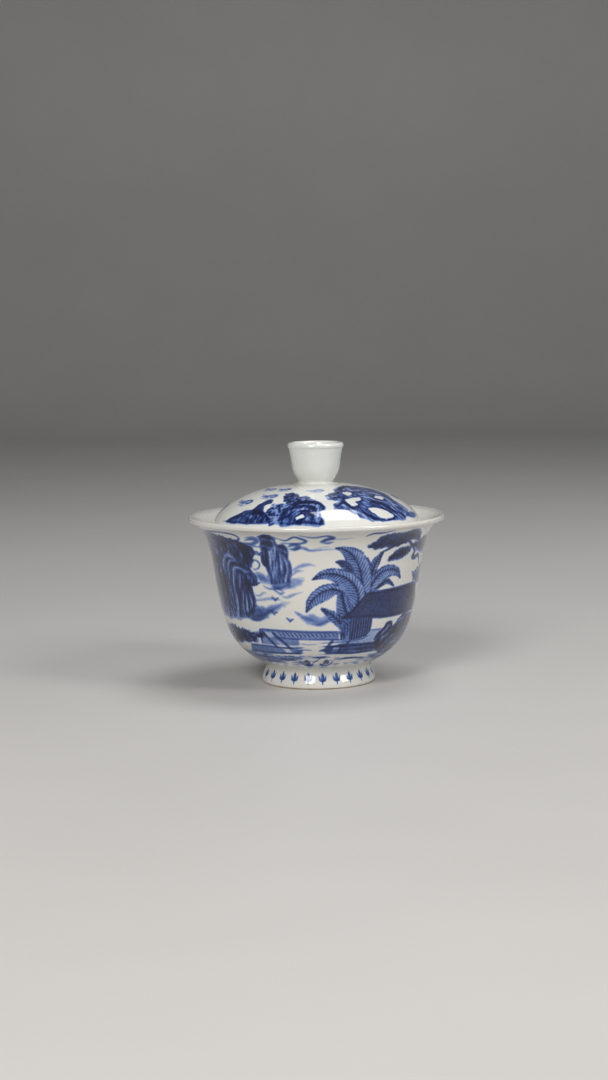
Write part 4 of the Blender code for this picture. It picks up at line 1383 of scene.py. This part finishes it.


# %% Glazed porcelain
# A cream white for the bowl and foot, a little warmer and darker than the lid's and the knob's: partly the
# porcelain's own colour, partly painted shade and a painted warm reflection on the cup.
BODY_WHITE_WITH_WARM_SHADE = (0.76, 0.74, 0.69)
BODY_COOL = (0.71, 0.72, 0.69)
LINE_CORE = 0.09
LINE_EDGE = 0.20
GLASS_IOR = 1.5
GLASS_ROUGHNESS = 0.035
UNDER_GLASS_SHINE = 0.1
FULL_PIGMENT_FROM = 0.06
PIGMENT = [(0.0, BODY_WHITE_WITH_WARM_SHADE), (0.10, (0.52, 0.57, 0.67)), (0.22, (0.28, 0.37, 0.60)),
           (0.36, (0.13, 0.21, 0.47)), (0.50, (0.055, 0.110, 0.33)), (0.66, (0.022, 0.046, 0.17)),
           (0.82, (0.011, 0.019, 0.080)), (0.95, (0.006, 0.009, 0.040))]


def stored(tree, name):
    """The value of an attribute of the mesh."""
    node = tree.nodes.new("ShaderNodeAttribute")
    node.attribute_name = name
    return node.outputs["Fac"]


def ruled_lines(tree, depth):
    """Adds the fine lines to the pigment depth: dark ones where "lines" is above 0, light ones where it
    is below."""
    phase = math_node(tree, "FRACT", stored(tree, "comb"), 0.0)
    away = math_node(tree, "ABSOLUTE", math_node(tree, "SUBTRACT", phase, 0.5), 0.0)
    on_line = remap(tree, away, LINE_CORE, LINE_EDGE, 1, 0)
    signed = math_node(tree, "MULTIPLY", on_line, stored(tree, "lines"))
    return math_node(tree, "MAXIMUM", math_node(tree, "ADD", depth, signed), 0.0)


def glaze(name, painted, body=BODY_WHITE_WITH_WARM_SHADE, cool=BODY_COOL):
    """White porcelain under a clear, slightly rippled glaze, with or without painting."""
    material = bpy.data.materials.new(name)
    material.use_nodes = True
    tree = material.node_tree
    shader = tree.nodes["Principled BSDF"]
    position = tree.nodes.new("ShaderNodeTexCoord").outputs["Object"]
    clay_drift = noise(tree, position, 55, 3)
    colour = blend_colours(tree, remap(tree, clay_drift, 0.35, 0.7, 0, 1), (*body, 1), (*cool, 1))
    if painted:
        grains = remap(tree, noise(tree, position, 1500, 2), 0.3, 0.7, 0.86, 1.14)
        pools = remap(tree, noise(tree, position, 260, 2), 0.3, 0.7, 0.90, 1.10)
        inked = ruled_lines(tree, stored(tree, "cobalt"))
        depth = math_node(tree, "MULTIPLY", math_node(tree, "MULTIPLY", inked, grains), pools)
        colour = blend_colours(tree, remap(tree, depth, 0.0, FULL_PIGMENT_FROM, 0, 1), colour,
                               ramp(tree, depth, PIGMENT))
    tree.links.new(colour, shader.inputs["Base Color"])
    tree.links.new(remap(tree, clay_drift, 0.3, 0.7, 0.22, 0.32), shader.inputs["Roughness"])
    shader.inputs["IOR"].default_value = GLASS_IOR
    shader.inputs["Specular IOR Level"].default_value = UNDER_GLASS_SHINE
    shader.inputs["Coat Weight"].default_value = 1.0
    shader.inputs["Coat Roughness"].default_value = GLASS_ROUGHNESS
    shader.inputs["Coat IOR"].default_value = GLASS_IOR
    ripple = new_node(tree, "ShaderNodeBump", Strength=0.10, Distance=0.0005)
    tree.links.new(noise(tree, position, 130, 2), ripple.inputs["Height"])
    tree.links.new(ripple.outputs["Normal"], shader.inputs["Coat Normal"])
    tree.links.new(ripple.outputs["Normal"], shader.inputs["Normal"])
    return material


# The bowl and foot take the warmer, darker white, which holds painted shade and a painted warm reflection;
# the lid and knob take lighter, cooler whites.
bowl_glaze = glaze("bowl_glaze", True)
foot_glaze = glaze("foot_glaze", True)
lid_glaze = glaze("lid_glaze", True, (0.77, 0.775, 0.73))
knob_glaze = glaze("knob_glaze", False, (0.77, 0.785, 0.74), (0.72, 0.75, 0.72))

# %% [markdown]
# ## Bare clay
#
# The ring that touches the table would stick to the shelf of the kiln, so it is wiped clean of glaze.
# Unglazed porcelain is matt and turns a warm buff.

# %% Unglazed clay
CLAY_LINE = 0.45


def bare_clay():
    """Matt buff clay with darker patches and a fine grain."""
    material = bpy.data.materials.new("bare_clay")
    material.use_nodes = True
    tree = material.node_tree
    shader = tree.nodes["Principled BSDF"]
    position = tree.nodes.new("ShaderNodeTexCoord").outputs["Object"]
    patches = remap(tree, noise(tree, position, 400, 4), 0.35, 0.7, 0, 1)
    colour = blend_colours(tree, patches, (0.56, 0.47, 0.36, 1), (0.38, 0.29, 0.20, 1))
    tree.links.new(colour, shader.inputs["Base Color"])
    tree.links.new(remap(tree, patches, 0, 1, 0.75, 0.9), shader.inputs["Roughness"])
    grain = new_node(tree, "ShaderNodeBump", Strength=0.35, Distance=0.0002)
    tree.links.new(noise(tree, position, 2500, 3), grain.inputs["Height"])
    tree.links.new(grain.outputs["Normal"], shader.inputs["Normal"])
    return material


def dress(piece, material, clay_below=None):
    """Gives the piece its glaze, and bare clay to the faces lower than clay_below, in millimetres."""
    piece.data.materials.clear()
    piece.data.materials.append(material)
    if clay_below is None:
        return
    piece.data.materials.append(clay)
    count = 0
    for face in piece.data.polygons:
        if face.center.z / MM < clay_below:
            face.material_index = 1
            count += 1
    print(piece.name, "has", count, "bare faces")


clay = bare_clay()
dress(bowl, bowl_glaze)
dress(foot, foot_glaze, CLAY_LINE)
dress(lid, lid_glaze)
dress(knob, knob_glaze)

# %% [markdown]
# ## Joining the pieces to the frame
#
# Each turned piece takes the place of its plain solid in the model. The bowl and foot belong to the
# cup, and the dome and knob to the lid, so that lifting the lid takes its knob along.

# %% Ride and replace
for piece, node, body, slot in (
    (bowl, "bowl", "cup", "bowl_glaze"),
    (foot, "foot_ring", "cup", "foot_glaze"),
    (lid, "lid", "lid", "lid_glaze"),
    (knob, "lid_knob", "lid", "knob_glaze"),
):
    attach(piece, body)
    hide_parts(node)
    print(piece.name, "stands for", node, "on", body)


# %% [markdown]
# ## Floor, lights and air
#
# The floor is a wide pale sheet that curves up far behind and goes on as a wall, so no horizon shows.
# Two soft boxes stand in front, one on each side, like windows, and a third hangs overhead: these are
# the shapes that the glaze reflects. A weak even light fills the shadows, as the walls of a room do.

# %% Floor
FLOOR_HALF = 1.6
SWEEP_RADIUS = 0.5
SWEEP_STEPS = 16
WALL_HEIGHT = 1.4

bpy.ops.object.select_all(action="DESELECT")
bpy.ops.mesh.primitive_plane_add(size=2 * FLOOR_HALF, location=(0, 0, 0))
floor = bpy.context.object
floor.name = "studio_floor"
bpy.ops.object.mode_set(mode="EDIT")
bpy.ops.mesh.select_all(action="DESELECT")
bpy.ops.object.mode_set(mode="OBJECT")
for edge in floor.data.edges:
    edge.select = all(floor.data.vertices[i].co.y > 0 for i in edge.vertices)
bpy.ops.object.mode_set(mode="EDIT")
bpy.ops.mesh.select_mode(type="EDGE")
bpy.ops.mesh.spin(steps=SWEEP_STEPS, angle=-math.pi / 2, center=(0, FLOOR_HALF, SWEEP_RADIUS), axis=(1, 0, 0))
bpy.ops.mesh.extrude_region_move(TRANSFORM_OT_translate={"value": (0, 0, WALL_HEIGHT)})
bpy.ops.object.mode_set(mode="OBJECT")
bpy.ops.object.shade_smooth()
print("floor reaches", round(max(v.co.z for v in floor.data.vertices), 2), "m up")

# %% Floor paint
floor_paint = bpy.data.materials.new("pale_floor")
floor_paint.use_nodes = True
floor_tree = floor_paint.node_tree
floor_shader = floor_tree.nodes["Principled BSDF"]
floor_place = floor_tree.nodes.new("ShaderNodeTexCoord").outputs["Object"]
floor_colour = blend_colours(floor_tree, remap(floor_tree, noise(floor_tree, floor_place, 6, 3), 0.3,
        0.7, 0, 1), (0.60, 0.59, 0.57, 1), (0.63, 0.62, 0.60, 1))
floor_tree.links.new(floor_colour, floor_shader.inputs["Base Color"])
floor_shader.inputs["Roughness"].default_value = 0.5
floor.data.materials.append(floor_paint)

# %% Lights
def soft_box(name, azimuth, elevation, distance, width, height, watts, colour):
    """An area light aimed at the middle of the object. Azimuth 0 is in front, positive to the right."""
    target = Vector((0, 0, KNOB_TOP / 2))
    turn_by, rise = math.radians(azimuth), math.radians(elevation)
    away = Vector((math.sin(turn_by) * math.cos(rise), -math.cos(turn_by) * math.cos(rise), math.sin(rise)))
    bpy.ops.object.light_add(type="AREA", location=target + away * distance)
    light = bpy.context.object
    light.name = name
    light.rotation_euler = away.to_track_quat("Z", "Y").to_euler()
    light.data.shape = "RECTANGLE"
    light.data.size = width
    light.data.size_y = height
    light.data.energy = watts
    light.data.color = colour
    return light


soft_box("window_left", -19, 33, 1.15, 0.35, 0.49, 7.4, (1.0, 0.97, 0.93))
soft_box("window_right", 59, 33, 1.15, 0.29, 0.49, 4.6, (1.0, 0.97, 0.94))
soft_box("overhead_box", 114, 76, 1.1, 0.49, 0.49, 4.6, (0.96, 0.97, 1.0))

AIR_COLOUR = (0.92, 0.95, 1.0, 1)
AIR_STRENGTH = 0.10
air = bpy.data.worlds.new("studio_air")
bpy.context.scene.world = air
air.use_nodes = True
background = air.node_tree.nodes["Background"]
background.inputs["Color"].default_value = AIR_COLOUR
background.inputs["Strength"].default_value = AIR_STRENGTH
bpy.context.scene.view_settings.view_transform = "Standard"
